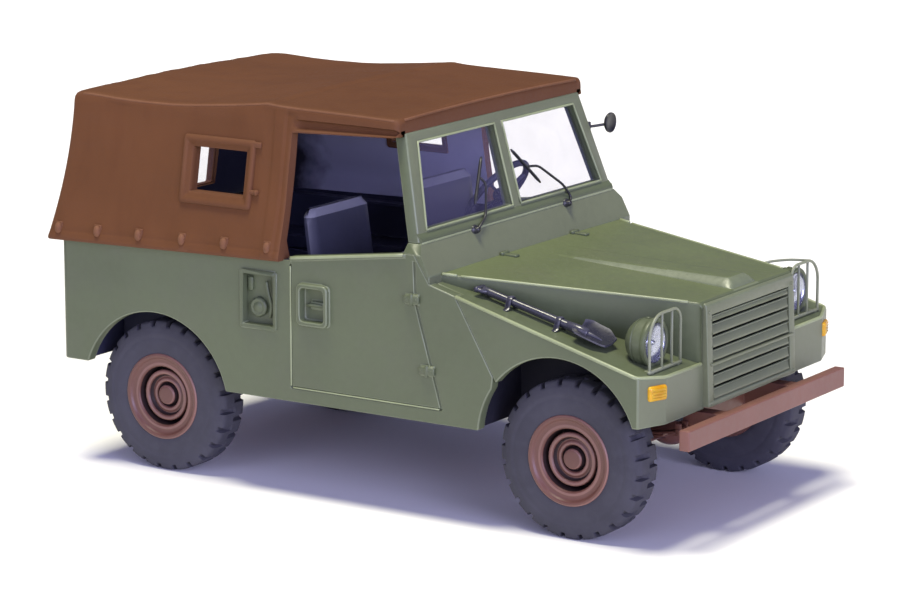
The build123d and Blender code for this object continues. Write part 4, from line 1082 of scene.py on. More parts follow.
# ---------------------------------------------------------------- wheels ---
RIM = [(0.50, 0.00), (1.10, 0.0), (1.16, 0.05), (1.30, 0.30), (1.62, 0.42), (1.95, 0.20), (2.05, 0.02), (2.28, 0.02), (2.33, 0.10), (2.33, 1.95), (2.42, 2.04),
       (2.50, 2.12), (2.545, 2.22), (2.53, 2.30), (2.46, 2.335), (2.34, 2.33), (2.27, 2.285), (2.24, 2.20), (2.17, 2.165), (1.98, 2.16), (1.84, 2.175), (1.77, 2.15),
       (1.735, 2.05), (1.70, 1.35), (1.66, 1.00), (1.60, 0.97), (1.55, 1.05), (1.515, 1.80), (1.48, 1.895), (1.42, 1.925), (1.33, 1.93), (1.26, 1.905),
       (1.215, 1.82), (1.17, 1.66), (1.10, 1.615), (1.02, 1.63), (0.96, 1.70), (0.90, 1.73), (0.80, 1.72), (0.74, 1.64), (0.69, 1.40), (0.64, 1.37), (0.60, 1.40),
       (0.575, 1.78), (0.55, 1.85), (0.49, 1.885), (0.40, 1.896), (0.30, 1.903), (0.20, 1.907), (0.10, 1.909), (0.03, 1.910)]
TYRE_LOW = [(2.28, 0.16), (2.42, 0.07), (2.60, 0.035), (2.85, 0.01), (3.15, 0.0), (3.42, 0.0), (3.50, 0.02), (3.58, 0.0), (3.80, 0.03), (3.98, 0.075)]
TYRE_LUG = [(4.06, 0.10, 4.06, 0.10), (4.14, 0.135, 4.12, 0.16), (4.28, 0.19, 4.14, 0.28), (4.375, 0.25, 4.15, 0.38), (4.43, 0.36, 4.15, 0.46), (4.445, 0.50, 4.15, 0.55),
            (4.445, 0.74, 4.15, 0.74), (4.445, 0.80, 4.16, 0.80), (4.445, 0.98, 4.30, 0.98), (4.445, 1.02, 4.32, 1.02), (4.445, 1.10, 4.33, 1.10)]


def rim_painted_light_tone(a, b):
    """Which of the rim's three tones a strip of its turned face takes: plain, groove darkened as painted shade, or
    crest lightened as a painted highlight.
    """
    r, h = (a[0] + b[0]) / 2, (a[1] + b[1]) / 2
    if (1.50 < r < 1.75 and h < 1.88) or (1.09 < r < 1.23 and h < 1.80) or (0.58 < r < 0.72 and h < 1.6):
        return 1
    if (2.45 < r and h > 2.15) or (1.82 < r < 2.0 and h > 2.12) or (1.24 < r < 1.46 and h > 1.89) or (0.79 < r < 0.98 and h > 1.69) or (0.48 < r < 0.58 and h > 1.80):
        return 2
    return 0


def wheel(axle, x, body):
    bm = bmesh.new()
    for s in (1, -1):
        def put(r, a, h, s=s):
            return (x + r * cos(a), s * (7.54 + h), AXLE_Z + r * sin(a))
        lathe(bm, RIM, put, 72, end=True, start=False, mats=[rim_painted_light_tone(a, b) for a, b in zip(RIM, RIM[1:])])
    settle(bm, axle + "_rims_turned", body, [rimmat, rim_groove_painted_shade, rim_crest_painted_highlight], rep=(axle + "_rims",), smooth=55, closed=False, weighted=False)
    bm = bmesh.new()
    lugs = 24
    phases = [(0.00, 0, 1), (0.23, 0, 1), (0.27, 1, 1), (0.47, 1, 1), (0.50, 1, 0), (0.73, 1, 0), (0.77, 1, 1), (0.97, 1, 1)]
    for s in (1, -1):
        cols = []
        for i in range(lugs):
            for ph, inner_up, outer_up in phases:
                a = 2 * pi * (i + ph) / lugs
                col = []
                for r, d in TYRE_LOW:
                    col.append((r, d))
                for r, d, rn, dn in TYRE_LUG:
                    col.append((r, d) if inner_up else (rn, dn))
                for r, d, rn, dn in reversed(TYRE_LUG):
                    col.append((r, 2.30 - d) if outer_up else (rn, 2.30 - dn))
                for r, d in reversed(TYRE_LOW):
                    col.append((r, 2.30 - d))
                cols.append([bm.verts.new((x + r * cos(a), s * (7.54 + d), AXLE_Z + r * sin(a))) for r, d in col])
        m = len(cols)
        for i in range(m):
            a, b = cols[i], cols[(i + 1) % m]
            for j in range(len(a)):
                k = (j + 1) % len(a)
                face(bm, (a[j], a[k], b[k], b[j]))
    settle(bm, axle + "_tyres_lugged", body, [tyremat], rep=(axle + "_tyres",), smooth=38, weighted=False)
    bm = bmesh.new()
    prof = [(0.02, -9.20), (0.40, -9.20), (0.49, -9.12), (0.50, -9.0), (0.50, -7.0), (0.485, -6.95), (0.485, 6.95), (0.50, 7.0), (0.50, 9.0), (0.49, 9.12), (0.40, 9.20), (0.02, 9.20)]
    lathe(bm, prof, lambda r, a, h: (x + r * cos(a), h, AXLE_Z + r * sin(a)), 32, start=True, end=True)
    settle(bm, axle + "_axle_pin", body, [steel], rep=(axle + "_axle_shaft",), smooth=50)


wheel("front", 0.0, "front_wheelset")
wheel("rear", -WB, "rear_wheelset")


# ----------------------------------------------------------- olive body ----
def tub_edit(bm):
    def corner(x0, x1, z0, z1):
        def test(e):
            a, b = e.verts[0].co, e.verts[1].co
            if not (near(a.x, b.x, 0.005) and near(a.z, b.z, 0.005)):
                return False
            if abs(a.y) < 10.2:
                return False
            return (near(a.x, x0) or near(a.x, x1)) and (near(a.z, z0) or near(a.z, z1))
        return test
    round_corners(bm, corner(-17.00, -14.90, 10.20, 12.60), 0.34, 4)
    round_corners(bm, corner(-16.75, -15.15, 10.45, 12.35), 0.22, 4)
    round_corners(bm, corner(-21.00, -18.50, 9.60, 13.00), 0.16, 3)
    round_corners(bm, corner(-20.80, -18.70, 9.85, 12.75), 0.14, 3)


def tub_extra(bm):
    for s in (1, -1):
        # door hinges: two leaves with a barrel between them
        for x, z in ((-9.35, 12.50), (-8.35, 8.60)):
            y = s * (SIDE_Y + 0.10)
            tube(bm, [(x, s * (SIDE_Y + 0.13), z - 0.30), (x, s * (SIDE_Y + 0.13), z), (x, s * (SIDE_Y + 0.13), z + 0.30)], 0.12, 12)
            rbox(bm, x - 0.50, x + 0.50, y - 0.10, y + 0.10, z - 0.22, z + 0.22, 0.06, 2)
            for dx in (-0.32, 0.32):
                dome(bm, (x + dx, s * (SIDE_Y + 0.20), z), 0.06, 0.04, 0.06, 10, 6)
        # handle: a curved lever lying in its pocket
        pts = [(-15.30, s * (SIDE_Y - 0.14), 11.36), (-15.7, s * (SIDE_Y - 0.02), 11.40), (-16.15, s * (SIDE_Y - 0.02), 11.40), (-16.45, s * (SIDE_Y - 0.10), 11.34)]
        tube(bm, spline(pts, 5), [0.11] * 4 + [0.12] * 8 + [0.10] * 4, 12, flat=0.8)
        # a strip along the door's top
        # the door-top strip is coloured in the bright olive as a painted highlight
        pts = [(-17.45, s * (SIDE_Y + 0.05), 13.93), (-9.95, s * (SIDE_Y + 0.05), 14.90)]
        tube(bm, [Vector(pts[0]).lerp(Vector(pts[1]), i / 12) for i in range(13)], 0.10, 10, mat=1)
    # bead in the door's rear and lower lines, coloured in the bright olive as a painted highlight
    for s in (1, -1):
        tube(bm, [(-17.55, s * (SIDE_Y - 0.015), lerp(6.62, 13.45, i / 14)) for i in range(15)], 0.052, 8, mat=1)
        tube(bm, [(lerp(-17.42, -7.62, i / 20), s * (SIDE_Y - 0.02), 6.50) for i in range(21)], 0.045, 8, mat=1)
    # shallow plate behind the filler cap
    rbox(bm, -20.86, -18.64, -(SIDE_Y - 0.42), -(SIDE_Y - 1.1), 9.79, 12.81, 0.03)
    rbox(bm, -20.70, -20.36, -(SIDE_Y - 0.25), -(SIDE_Y - 0.6), 11.7, 12.5, 0.06)
    tube(bm, spline([(-19.35, -(SIDE_Y - 0.22), 12.35), (-19.2, -(SIDE_Y - 0.18), 11.7), (-19.0, -(SIDE_Y - 0.20), 11.0), (-19.15, -(SIDE_Y - 0.25), 10.3)], 5), 0.10, 10)
    # filler cap: a ribbed cap in the recess
    def cap_put(r, a, h):
        k = 1.0 + (0.035 * (1 if int(a / (2 * pi) * 48) % 2 else -1) if 0.50 < r < 0.60 else 0.0)
        return (-19.95 + r * k * cos(a), -(SIDE_Y - 0.47 + h), 10.80 + r * k * sin(a))
    lathe(bm, [(0.56, 0.0), (0.56, 0.22), (0.52, 0.29), (0.42, 0.32), (0.36, 0.28), (0.30, 0.28), (0.24, 0.34), (0.02, 0.36)], cap_put, 48, start=True, end=True)
    # tailgate: straps, latches and a handle on the rear wall
    for y in (-5.2, 5.2):
        rbox(bm, -34.16, -33.95, y - 0.35, y + 0.35, 6.75, 8.1, 0.05)
        tube(bm, [(-34.13, y - 0.55, 6.75), (-34.13, y, 6.75), (-34.13, y + 0.55, 6.75)], 0.16, 12)
        for z in (7.2, 7.75):
            bolt(bm, (-34.14, y, z), (-1, 0, 0), 0.10, 0.08)
    for s in (1, -1):
        rbox(bm, -34.18, -33.95, s * 7.15 - 0.45, s * 7.15 + 0.45, 12.05, 12.60, 0.06)
        tube(bm, [(-34.22, s * 6.75, 12.34), (-34.26, s * 7.15, 12.40), (-34.22, s * 7.5, 12.34)], 0.10, 10)
        # rear reflectors' base
        rbox(bm, -34.08, -33.95, s * 9.55 - 0.62, s * 9.55 + 0.62, 7.85, 10.25, 0.05)
    # stiffening swages across the tailgate
    for z in (8.9, 10.2, 11.5):
        tube(bm, [(-34.0, y, z) for y in [-6.3 + 0.7 * i for i in range(19)]], [0.10] * 19, 10, flat=1.0)


def tub_pick(p, d, e):
    if abs(p.x + 34.0) < 0.5 and abs(d.z) > 0.9:
        return 0.05
    if p.z > 13.3 and p.x < -17.4:
        return 0.05
    return None


def tub_paint(f):
    """Inner faces of the tub, and its rail under the cloth, carry the cabin's dark colour."""
    c, n = f.calc_center_median(), f.normal
    inner = c.y * n.y < -0.5 and abs(c.y) < 10.4 or (c.x < -33.0 and n.x > 0.9 and abs(c.y) < 10.3)
    rail = n.z > 0.9 and c.z > 13.2 and c.x < -17.9
    return 2 if inner or rail else 0


from_cad("body_tub", "body_tub_moulding", "car", [olive, olive_painted_highlight, cabin], want=0.075, edit=tub_edit, extra=tub_extra, pick=tub_pick, paint=tub_paint)


def wings_extra(bm):
    for s in (1, -1):
        # bead along the outer edge of the wing's sloping top, in the bright olive as a painted highlight
        pts = [(-6.55, s * 10.86, wing_z(-6.55) - 0.02), (4.80, s * 10.86, wing_z(4.80) - 0.02), (5.50, s * 9.02, wing_z(5.5) - 0.02), (5.52, s * 5.2, wing_z(5.52) - 0.03)]
        tube(bm, round_path(pts, 0.25, 4), 0.105, 10, mat=1)


def wing_pick(p, d, e):
    if p.z > wing_z(p.x) - 0.05 and abs(p.y) > 8.5:
        return 0.11
    return None


# faces turned forward take the lighter front olive as painted front light
from_cad("front_wings", "front_wings_moulding", "car", [olive, olive_painted_highlight, olive_front_painted_light], want=0.085, extra=wings_extra, pick=wing_pick, seg=3, paint=lambda f: 2 if f.normal.x > 0.8 else 0)


def bonnet_half(x):
    return lerp(9.71, 5.24, (x + 8.26) / 13.83)


def bonnet_top(x):
    return lerp(13.84, 13.00, (x + 8.26) / 13.83)


def build_bonnet():
    bm = bmesh.new()
    xs = [-8.26, -8.20, -8.10] + [-7.9 + 0.42 * i for i in range(32)] + [5.25, 5.38, 5.47, 5.53, 5.57]
    xs = sorted(set(round(x, 4) for x in xs if x <= 5.57))
    us = sorted(set([-1 + i / 18 for i in range(37)]))
    rings = []
    rt = 0.17
    for x in xs:
        w, zt = bonnet_half(x), bonnet_top(x)
        fall = 0.0
        if x > 5.25:
            t = (x - 5.25) / 0.32
            fall = 0.26 * (1 - sqrt(max(0.0, 1 - t * t)))
        zl = wing_z(x) - 0.02
        ring = []
        half = [(w - 0.02, zl), (w, zl + 0.05), (w, max(zl + 0.08, zt - rt))] if x < 5.4 else [(w - 0.06, zl), (w - 0.03, zl + 0.05), (w - 0.03, zt - rt - fall)]
        zt -= fall
        for a in (15, 30, 45, 60, 75, 90):
            t = radians(a)
            half.append((w - rt * (1 - cos(t)), max(zl + 0.1, zt - rt) + rt * sin(t)))
        ring += [(x, -y, z) for y, z in half]
        for u in us[1:-1]:
            y = u * (w - rt)
            crown = 0.05 * (1 - u * u)
            ring.append((x, y, zt + crown))
        ring += [(x, y, z) for y, z in reversed(half)]
        rings.append(ring)
    outer = [[bm.verts.new(p) for p in r] for r in rings]
    n = len(outer[0])
    for a, b in zip(outer, outer[1:]):
        for j in range(n - 1):
            face(bm, (a[j], b[j], b[j + 1], a[j + 1]))
    # inner skin, 0.45 inside
    inner = []
    for r, x in zip(rings, xs):
        inner.append([bm.verts.new((lerp(xs[0] + 0.3, xs[-1] - 0.45, (x - xs[0]) / (xs[-1] - xs[0])), y * (1 - 0.45 / max(5.0, bonnet_half(x))), z - (0.45 if z > bonnet_top(x) - 0.25 else 0.0)))
                      for (_, y, z) in r])
    for a, b in zip(inner, inner[1:]):
        for j in range(n - 1):
            face(bm, (a[j + 1], b[j + 1], b[j], a[j]))
    for o, i in ((outer[0], inner[0]), (outer[-1], inner[-1])):
        for j in range(n - 1):
            face(bm, (o[j], o[j + 1], i[j + 1], i[j]))
    for j in (0, n - 1):
        for k in range(len(outer) - 1):
            face(bm, (outer[k][j], outer[k + 1][j], inner[k + 1][j], inner[k][j]))
    # raised centre panel: its top stays nearly level while the bonnet falls away
    rings = []
    for i in range(49):
        x = lerp(-6.85, 5.32, i / 48)
        zt = bonnet_top(x) + 0.03
        top = 13.79 - 0.021 * (x + 6.5)
        h = max(0.012, (top - zt) * sstep(-6.85, -6.3, x)) * (1 - sstep(4.90, 5.32, x)) + 0.004
        w = 1.42
        c = 0.20 + 0.75 * h
        rings.append([(x, -w - 0.04, zt - 0.14), (x, -w, zt), (x, -w + 0.06 + 0.02 * h, zt + h * 0.22), (x, -w + c * 0.85, zt + h * 0.92), (x, -w + c, zt + h), (x, -w + c + 0.3, zt + h * 1.02), (x, 0, zt + h * 1.03),
                      (x, w - c - 0.3, zt + h * 1.02), (x, w - c, zt + h), (x, w - c * 0.85, zt + h * 0.92), (x, w - 0.06 - 0.02 * h, zt + h * 0.22), (x, w, zt), (x, w + 0.04, zt - 0.14)])
    loft(bm, rings, cap0=True, cap1=True)
    # upward faces take the yellower olive as painted top light; the rib's sloping faces take the lighter olive as a
    # painted highlight
    for f in bm.faces:
        f.normal_update()
        c = f.calc_center_median()
        if abs(f.normal.z) > 0.93 and c.z > bonnet_top(c.x) - 0.15:
            f.material_index = 2
        elif abs(f.normal.z) > 0.3 and abs(c.y) < 1.5 and c.z > bonnet_top(c.x):
            f.material_index = 3
    for y in (-3.35, 4.3):
        # hinge: leaf on the bonnet and a barrel at the scuttle
        rbox(bm, -8.15, -7.25, y - 0.22, y + 0.22, 13.80, 13.97, 0.07, 3)
        tube(bm, [(-8.14, y - 0.34, 13.95), (-8.14, y, 13.95), (-8.14, y + 0.34, 13.95)], 0.12, 12)
    # piping along the upper side edges, broken before the scuttle, in the bright olive as a painted highlight
    for s in (1, -1):
        pts = [(x, s * (bonnet_half(x) - 0.05), bonnet_top(x) - 0.04) for x in [-7.2 + 0.6 * i for i in range(22)] if x < 5.2]
        tube(bm, pts, 0.085, 10, mat=1)
        tube(bm, [(-8.2, s * (bonnet_half(-8.2) - 0.03), bonnet_top(-8.2) - 0.02), (-7.8, s * (bonnet_half(-7.8) - 0.03), bonnet_top(-7.8) - 0.02), (-7.45, s * (bonnet_half(-7.45) - 0.03), bonnet_top(-7.45) - 0.02)], 0.10, 10, mat=1)
    return bm


settle(build_bonnet(), "bonnet_moulding", "car", [olive, olive_painted_highlight, olive_top_painted_light, olive_bevel_painted_highlight], rep=("bonnet",), smooth=48, weighted=False)


def grille_front(z):
    return lerp(6.00, 5.76, clamp((z - 7.20) / 5.47))


LOUVRES = [12.05, 11.32, 10.60, 9.88, 9.22, 8.50, 7.78]


def build_grille():
    bm = bmesh.new()
    # back wall, stiles, cap and foot; the back wall is painted near-black as the shade behind the slats
    prism(bm, [(4.70, 7.25), (5.36, 7.25), (5.24, 12.45), (4.70, 12.35)], along_y, -4.60, 4.60)
    for f in bm.faces:
        f.material_index = 2
    for s in (1, -1):
        prism(bm, [(4.72, 7.22), (grille_front(7.2), 7.22), (grille_front(12.5), 12.50), (5.72, 12.82), (5.58, 12.93), (4.72, 12.40)], along_y, s * 4.45, s * 5.06)
    prism(bm, [(4.72, 12.22), (grille_front(12.2) - 0.02, 12.22), (grille_front(12.5), 12.50), (5.74, 12.80), (5.60, 12.95), (4.72, 12.40)], along_y, -5.0, 5.0)
    prism(bm, [(4.72, 7.20), (6.00, 7.20), (6.01, 7.50), (5.85, 7.58), (4.72, 7.58)], along_y, -5.0, 5.0)
    return bm


def grille_extra(bm):
    tops = [12.16] + [z - 0.34 for z in LOUVRES[:-1]]
    for z, prev in zip(LOUVRES, tops):
        # each slat leans out at its lower edge over the slit below it
        zt, zb = prev - 0.01, z - 0.15
        xt, xb = grille_front(zt) - 0.15, grille_front(zb) + 0.03
        rows = []
        for y in [-4.47] + [-4.40 + i * 0.36 for i in range(25)]:
            w = 0.012 * sin(y * 3.3 + z * 7)
            rows.append([(xt - 0.06, y, zt - 0.02), (xt, y, zt), (xt + 0.10, y, zt - 0.06), (xb - 0.04 + w, y, zb + 0.10), (xb + w, y, zb + 0.02), (xb - 0.03 + w, y, zb - 0.03),
                         (xb - 0.12, y, zb - 0.02), (xb - 0.40, y, zb + 0.14), (xt - 0.12, y, zt - 0.16)])
        loft(bm, rows, cap0=True, cap1=True)
        # a line of lighter olive along each slat's top edge: painted highlight
        tube(bm, [(xt + 0.075, y, zt - 0.02) for y in [-4.40 + i * 0.44 for i in range(21)]], 0.042, 8, mat=1)
    # divider bar that reaches past the field
    rbox(bm, 5.5, grille_front(9.5) + 0.10, -4.75, 4.75, 9.44, 9.60, 0.05)
    for s in (1, -1):
        for z in (7.40, 12.38):
            bolt(bm, (grille_front(z) - 0.01, s * 4.76, z), (1, 0, 0), 0.09, 0.07)


# grille in the lighter front olive as painted front light, bevels in lighter olive as a painted highlight, back wall
# near-black as painted shade
ob = settle(build_grille(), "grille_louvred", "car", [olive_front_painted_light, olive_bevel_painted_highlight, slit_painted_shade], rep=("grille_panel",), bevel=0.06, smooth=44, bevel_painted_highlight_mat=1)
add_to(ob, grille_extra)


def scuttle_extra(bm):
    # bead under the screen in the bright olive as a painted highlight, and the dark seam below it is the gap to the
    # scuttle
    for s in (1,):
        tube(bm, [(screen_x(15.5) + 0.06, y, 15.50) for y in [-10.25 + i * 0.82 for i in range(26)]], 0.10, 12, mat=1)


# faces turned forward take the lighter front olive as painted front light
from_cad("scuttle", "scuttle_moulding", "car", [olive, olive_painted_highlight, olive_front_painted_light], want=0.06, seg=3, extra=scuttle_extra, paint=lambda f: 2 if f.normal.x > 0.4 else 0)


def screen_extra(bm):
    # lower ledge: upper facet leans back, lower bead is lighter
    rows = []
    for y in [-10.30 + i * 0.824 for i in range(26)]:
        rows.append([(screen_x(15.54) - 0.2, y, 15.54), (screen_x(15.54) + 0.14, y, 15.54), (screen_x(15.62) + 0.17, y, 15.62), (screen_x(15.80) + 0.15, y, 15.80),
                     (screen_x(15.90) + 0.05, y, 15.90), (screen_x(16.02) - 0.01, y, 16.02), (screen_x(16.0) - 0.3, y, 16.0)])
    loft(bm, rows, cap0=True, cap1=True)
    # bead round each pane, in the bright olive as a painted highlight
    for s in (1, -1):
        def at(y, z):
            return (screen_x(z) + 0.01, s * y, z)
        za, zb = 16.12, 20.73
        ya, yb = lerp(9.40, 8.27, (za - 16.09) / 4.67), lerp(9.40, 8.27, (zb - 16.09) / 4.67)
        loop = []
        for (y0, z0), (y1, z1) in (((0.42, za), (ya, za)), ((ya, za), (yb, zb)), ((yb, zb), (0.42, zb)), ((0.42, zb), (0.42, za))):
            loop += [at(lerp(y0, y1, i / 12), lerp(z0, z1, i / 12)) for i in range(12)]
        tube(bm, loop, 0.065, 8, closed=True, mat=1)


# faces turned forward take the lighter front olive as painted front light
from_cad("windscreen_frame", "windscreen_frame_moulding", "car", [olive, olive_painted_highlight, olive_front_painted_light], want=0.085, extra=screen_extra, paint=lambda f: 2 if f.normal.x > 0.6 else 0)
from_cad("windscreen_panes", "windscreen_panes_clear", "car", [pane], want=0.03)


# ------------------------------------------------------------- fittings ----
def build_bumper():
    bm = bmesh.new()
    prism(bm, [(6.42, 5.74), (7.05, 5.74), (7.05, 6.87), (6.42, 6.87)], along_y, -9.11, 9.11)
    return bm


settle(build_bumper(), "bumper_bar", "car", [bumpermat], rep=("front_bumper",), bevel=0.07, seg=3)


LY, LZ = 8.12, 11.20
bm = bmesh.new()
SHELL = [(0.03, 2.72), (0.30, 2.74), (0.62, 2.84), (0.90, 3.02), (1.10, 3.22), (1.22, 3.40), (1.27, 3.50), (1.22, 3.54), (1.22, 3.62), (1.29, 3.66), (1.30, 3.80), (1.30, 4.06), (1.30, 4.12), (1.335, 4.15), (1.345, 4.22), (1.345, 4.34),
         (1.32, 4.40), (1.25, 4.43), (1.16, 4.42), (1.10, 4.38), (1.08, 4.28), (1.06, 4.14), (0.03, 4.12)]
for s in (1, -1):
    lathe(bm, SHELL, lambda r, a, h, s=s: (h, s * LY + r * cos(a), LZ + r * sin(a)), 56, start=True, end=True)
    rbox(bm, 3.0, 4.0, s * LY - 0.5, s * LY + 0.5, wing_z(3.5) - 0.15, LZ - 1.0, 0.08)
    dome(bm, (3.9, s * LY, LZ + 1.31), 0.16, 0.10, 0.06, 10, 6)
settle(bm, "headlamp_bowls", "car", [olive], rep=("headlamp_shells",), smooth=50)

bm = bmesh.new()
for s in (1, -1):
    # dished bright reflector with a bulb
    lathe(bm, [(1.05, 4.36), (1.02, 4.30), (0.95, 4.24), (0.80, 4.19), (0.55, 4.15), (0.30, 4.13), (0.14, 4.13), (0.14, 4.24), (0.09, 4.29), (0.02, 4.30)],
          lambda r, a, h, s=s: (h, s * LY + r * cos(a), LZ + r * sin(a)), 48, end=True)
    lathe(bm, [(0.02, 4.125), (1.05, 4.125), (1.05, 4.36)], lambda r, a, h, s=s: (h, s * LY + r * cos(a), LZ + r * sin(a)), 48, start=True)
settle(bm, "headlamp_reflectors", "car", [silver], rep=("headlamp_lenses",), smooth=50)

bm = bmesh.new()
for s in (1, -1):
    def lens_put(r, a, h, s=s):
        y, z = r * cos(a), r * sin(a)
        flute = 0.022 * cos(y * 2 * pi / 0.30) * clamp((1.0 - r) * 6) if h > 4.385 else 0.0
        return (h + flute + (0.12 * (1 - (r / 1.08) ** 2) if h > 4.385 else 0.0), s * LY + y, LZ + z)
    prof = [(0.03, 4.375), (1.0, 4.375), (1.07, 4.375), (1.085, 4.39), (1.07, 4.40)] + [(1.0 - 0.05 * i, 4.40) for i in range(20)] + [(0.02, 4.40)]
    lathe(bm, prof, lens_put, 96, start=True, end=True)
settle(bm, "headlamp_glasses", "car", [lens], smooth=60, weighted=False)

bm = bmesh.new()
GX, BAR = 4.90, 0.085
for s in (1, -1):
    zb = wing_z(GX) + 0.10
    arch = [(GX, s * 6.37, zb), (GX, s * 6.37, 12.30), (GX, s * 6.55, 12.75), (GX, s * 6.95, 12.93), (GX, s * 8.5, 12.93), (GX, s * 9.15, 12.72), (GX, s * 9.55, 12.25),
            (GX, s * 9.70, 11.6), (GX, s * 9.70, zb + 0.0)]
    arch = [(GX, s * 6.37, zb)] + [(GX, s * 6.37, 11.2)] + [(GX, s * (7.12 - 0.75 * cos(radians(a))), 12.20 + 0.75 * sin(radians(a))) for a in range(0, 91, 15)] \
        + [(GX, s * (8.40 + 1.30 * sin(radians(a))), 11.65 + 1.30 * cos(radians(a))) for a in range(0, 91, 12)] + [(GX, s * 9.70, 11.2), (GX, s * 9.70, zb)]
    tube(bm, arch, BAR, 10)
    for y in (7.32, 8.39):
        tube(bm, [(GX, s * y, zb), (GX, s * y, 11.5), (GX, s * y, 12.90)], BAR * 0.92, 10)
    tube(bm, [(GX, s * 6.30, zb), (GX, s * 8.0, zb), (GX, s * 9.78, zb)], BAR * 1.25, 10)
    for y in (6.6, 9.4):
        rbox(bm, GX - 0.55, GX + 0.08, s * y - 0.12, s * y + 0.12, zb - 0.12, zb + 0.02, 0.03)
tube(bm, spline([(GX, 8.70, 12.93), (4.2, 7.5, 13.10), (3.55, 6.3, 13.12), (3.3, 5.85, 13.02)], 5), 0.075, 10)
settle(bm, "lamp_guards_wire", "car", [olive_fine], rep=("lamp_guards",), smooth=60)

bm = bmesh.new()
for s in (1, -1):
    # amber lens with rounded corners and a few ribs, on a thin base, along the wing's slanted corner
    def put(u, v, w, s=s):
        # u runs along the corner, v up, w outwards
        a = Vector((5.58, 9.05, 0)).lerp(Vector((5.13, 10.30, 0)), u)
        nrm = Vector((0.94, 0.34, 0))
        q = a + nrm * w
        return (q.x, s * q.y, v)
    loops = []
    for d, h in ((0.0, -0.05), (0.0, 0.06), (0.03, 0.14), (0.09, 0.19), (0.17, 0.205)):
        loops.append([put(u, v, h) for u, v in [((p[0] + 0.0) / 1.33, p[1]) for p in rounded_rect(0.02 + d, 1.30 - d, 8.47 + d, 9.30 - d, max(0.04, 0.16 - d * 0.5))]])
    loft(bm, loops, cap0=True, cap1=True)
    for i in range(4):
        z = 8.65 + i * 0.16
        tube(bm, [put(u, z, 0.20) for u in (0.14, 0.32, 0.5, 0.68, 0.84)], 0.035, 8)
settle(bm, "indicator_lenses", "car", [amber], rep=("indicators",), smooth=50)

WIPERS = [(-5.00, [(-3.72, 16.00), (-2.93, 17.70), (-3.32, 18.08)], (-4.29, 16.78), (-2.61, 19.14)),
          (4.87, [(5.50, 15.70), (4.93, 16.53), (2.78, 17.92), (1.78, 18.02)], (0.55, 19.13), (2.78, 16.95))]
bm = bmesh.new()
for y0, bends, ba, bb in WIPERS:
    pts = [(screen_x(15.45) + 0.35, y0, 15.45)] + [(screen_x(z) + 0.22, y, z) for y, z in bends]
    tube(bm, round_path(pts, 0.35, 4), 0.075, 8)
    rows = [Vector((screen_x(ba[1]) + 0.10, ba[0], ba[1])).lerp(Vector((screen_x(bb[1]) + 0.10, bb[0], bb[1])), i / 10) for i in range(11)]
    tube(bm, rows, [0.05] + [0.085] * 9 + [0.05], 8, flat=1.3, up=(1, 0, 0))
    lathe(bm, [(0.34, 0.0), (0.34, 0.12), (0.29, 0.2), (0.20, 0.24), (0.17, 0.42), (0.11, 0.50), (0.02, 0.52)],
          lambda r, a, h, y0=y0: (screen_x(15.38) + 0.0 + h * 0.96, y0 + r * cos(a), 15.38 + r * sin(a) + h * 0.25), 20, start=True, end=True)
settle(bm, "wiper_arms", "car", [black], rep=("wipers",), smooth=60)

bm = bmesh.new()
tube(bm, spline([(screen_x(19.2, 0.25), screen_half(19.2) + 0.02, 19.20), (-10.25, 10.0, 19.22), (-9.80, 10.62, 19.30), (-9.79, 10.95, 19.35)], 5), 0.085, 10)
rbox(bm, screen_x(19.2, 0.50), screen_x(19.2, 0.05), screen_half(19.2) - 0.06, screen_half(19.2) + 0.20, 18.95, 19.50, 0.07, 3)
lathe(bm, [(0.03, -10.02), (0.25, -10.0), (0.48, -9.92), (0.59, -9.82), (0.615, -9.74), (0.60, -9.68), (0.55, -9.67), (0.52, -9.70), (0.03, -9.70)],
      lambda r, a, h: (h + 0.04, 10.95 + r * cos(a), 19.35 + r * sin(a)), 32, start=True, end=True)
settle(bm, "mirror_round", "car", [black], rep=("mirror",), smooth=50)

bm = bmesh.new()


def on_wing(x, up, dy=0.0):
    return Vector((x, -9.30 + 0.055 * (x + 5.9) + dy, wing_z(x) + up))


handle = [on_wing(-5.75 + i * 0.42, 0.42 - 0.03 * sstep(-1.5, 0.6, -5.75 + i * 0.42)) for i in range(16)]
tube(bm, handle, [0.22] * 8 + [0.235] * 4 + [0.25] * 4, 16)
# grip: a cross bar between two short arms
tube(bm, [on_wing(-6.0, 0.42, -0.42), on_wing(-6.0, 0.42, 0.0), on_wing(-6.0, 0.42, 0.36)], 0.16, 12)
tube(bm, spline([on_wing(-6.0, 0.42, -0.34), on_wing(-5.7, 0.42, -0.28), on_wing(-5.4, 0.42, 0.0)], 4), 0.12, 10)
tube(bm, spline([on_wing(-6.0, 0.42, 0.30), on_wing(-5.7, 0.42, 0.26), on_wing(-5.4, 0.42, 0.0)], 4), 0.12, 10)
# socket and dished blade
tube(bm, [on_wing(-0.6, 0.44), on_wing(0.1, 0.42), on_wing(0.6, 0.40)], [0.24, 0.29, 0.30], 16)
rings = []
for i in range(17):
    t = i / 16
    x = lerp(0.10, 2.05, t)
    half = max(0.22, 1.10 * sstep(-0.25, 0.16, t) * (1 - 0.45 * sstep(0.60, 1.08, t)))
    row_top, row_low = [], []
    for k in range(11):
        q = -1 + k / 5
        lift = 0.34 + 0.30 * abs(q) ** 2 * (1 - 0.7 * sstep(0.6, 1.0, t)) + 0.16 * (q + 1) / 2 + 0.10 * (1 - t) - 0.08 * sin(pi * t)
        row_top.append(on_wing(x, lift, q * half))
        row_low.append(on_wing(x, lift - 0.10, q * half))
    rings.append(row_top + list(reversed(row_low)))
loft(bm, rings, cap0=True, cap1=True)
tube(bm, [on_wing(0.3, 0.40), on_wing(0.9, 0.42), on_wing(1.5, 0.38)], [0.22, 0.14, 0.05], 12)
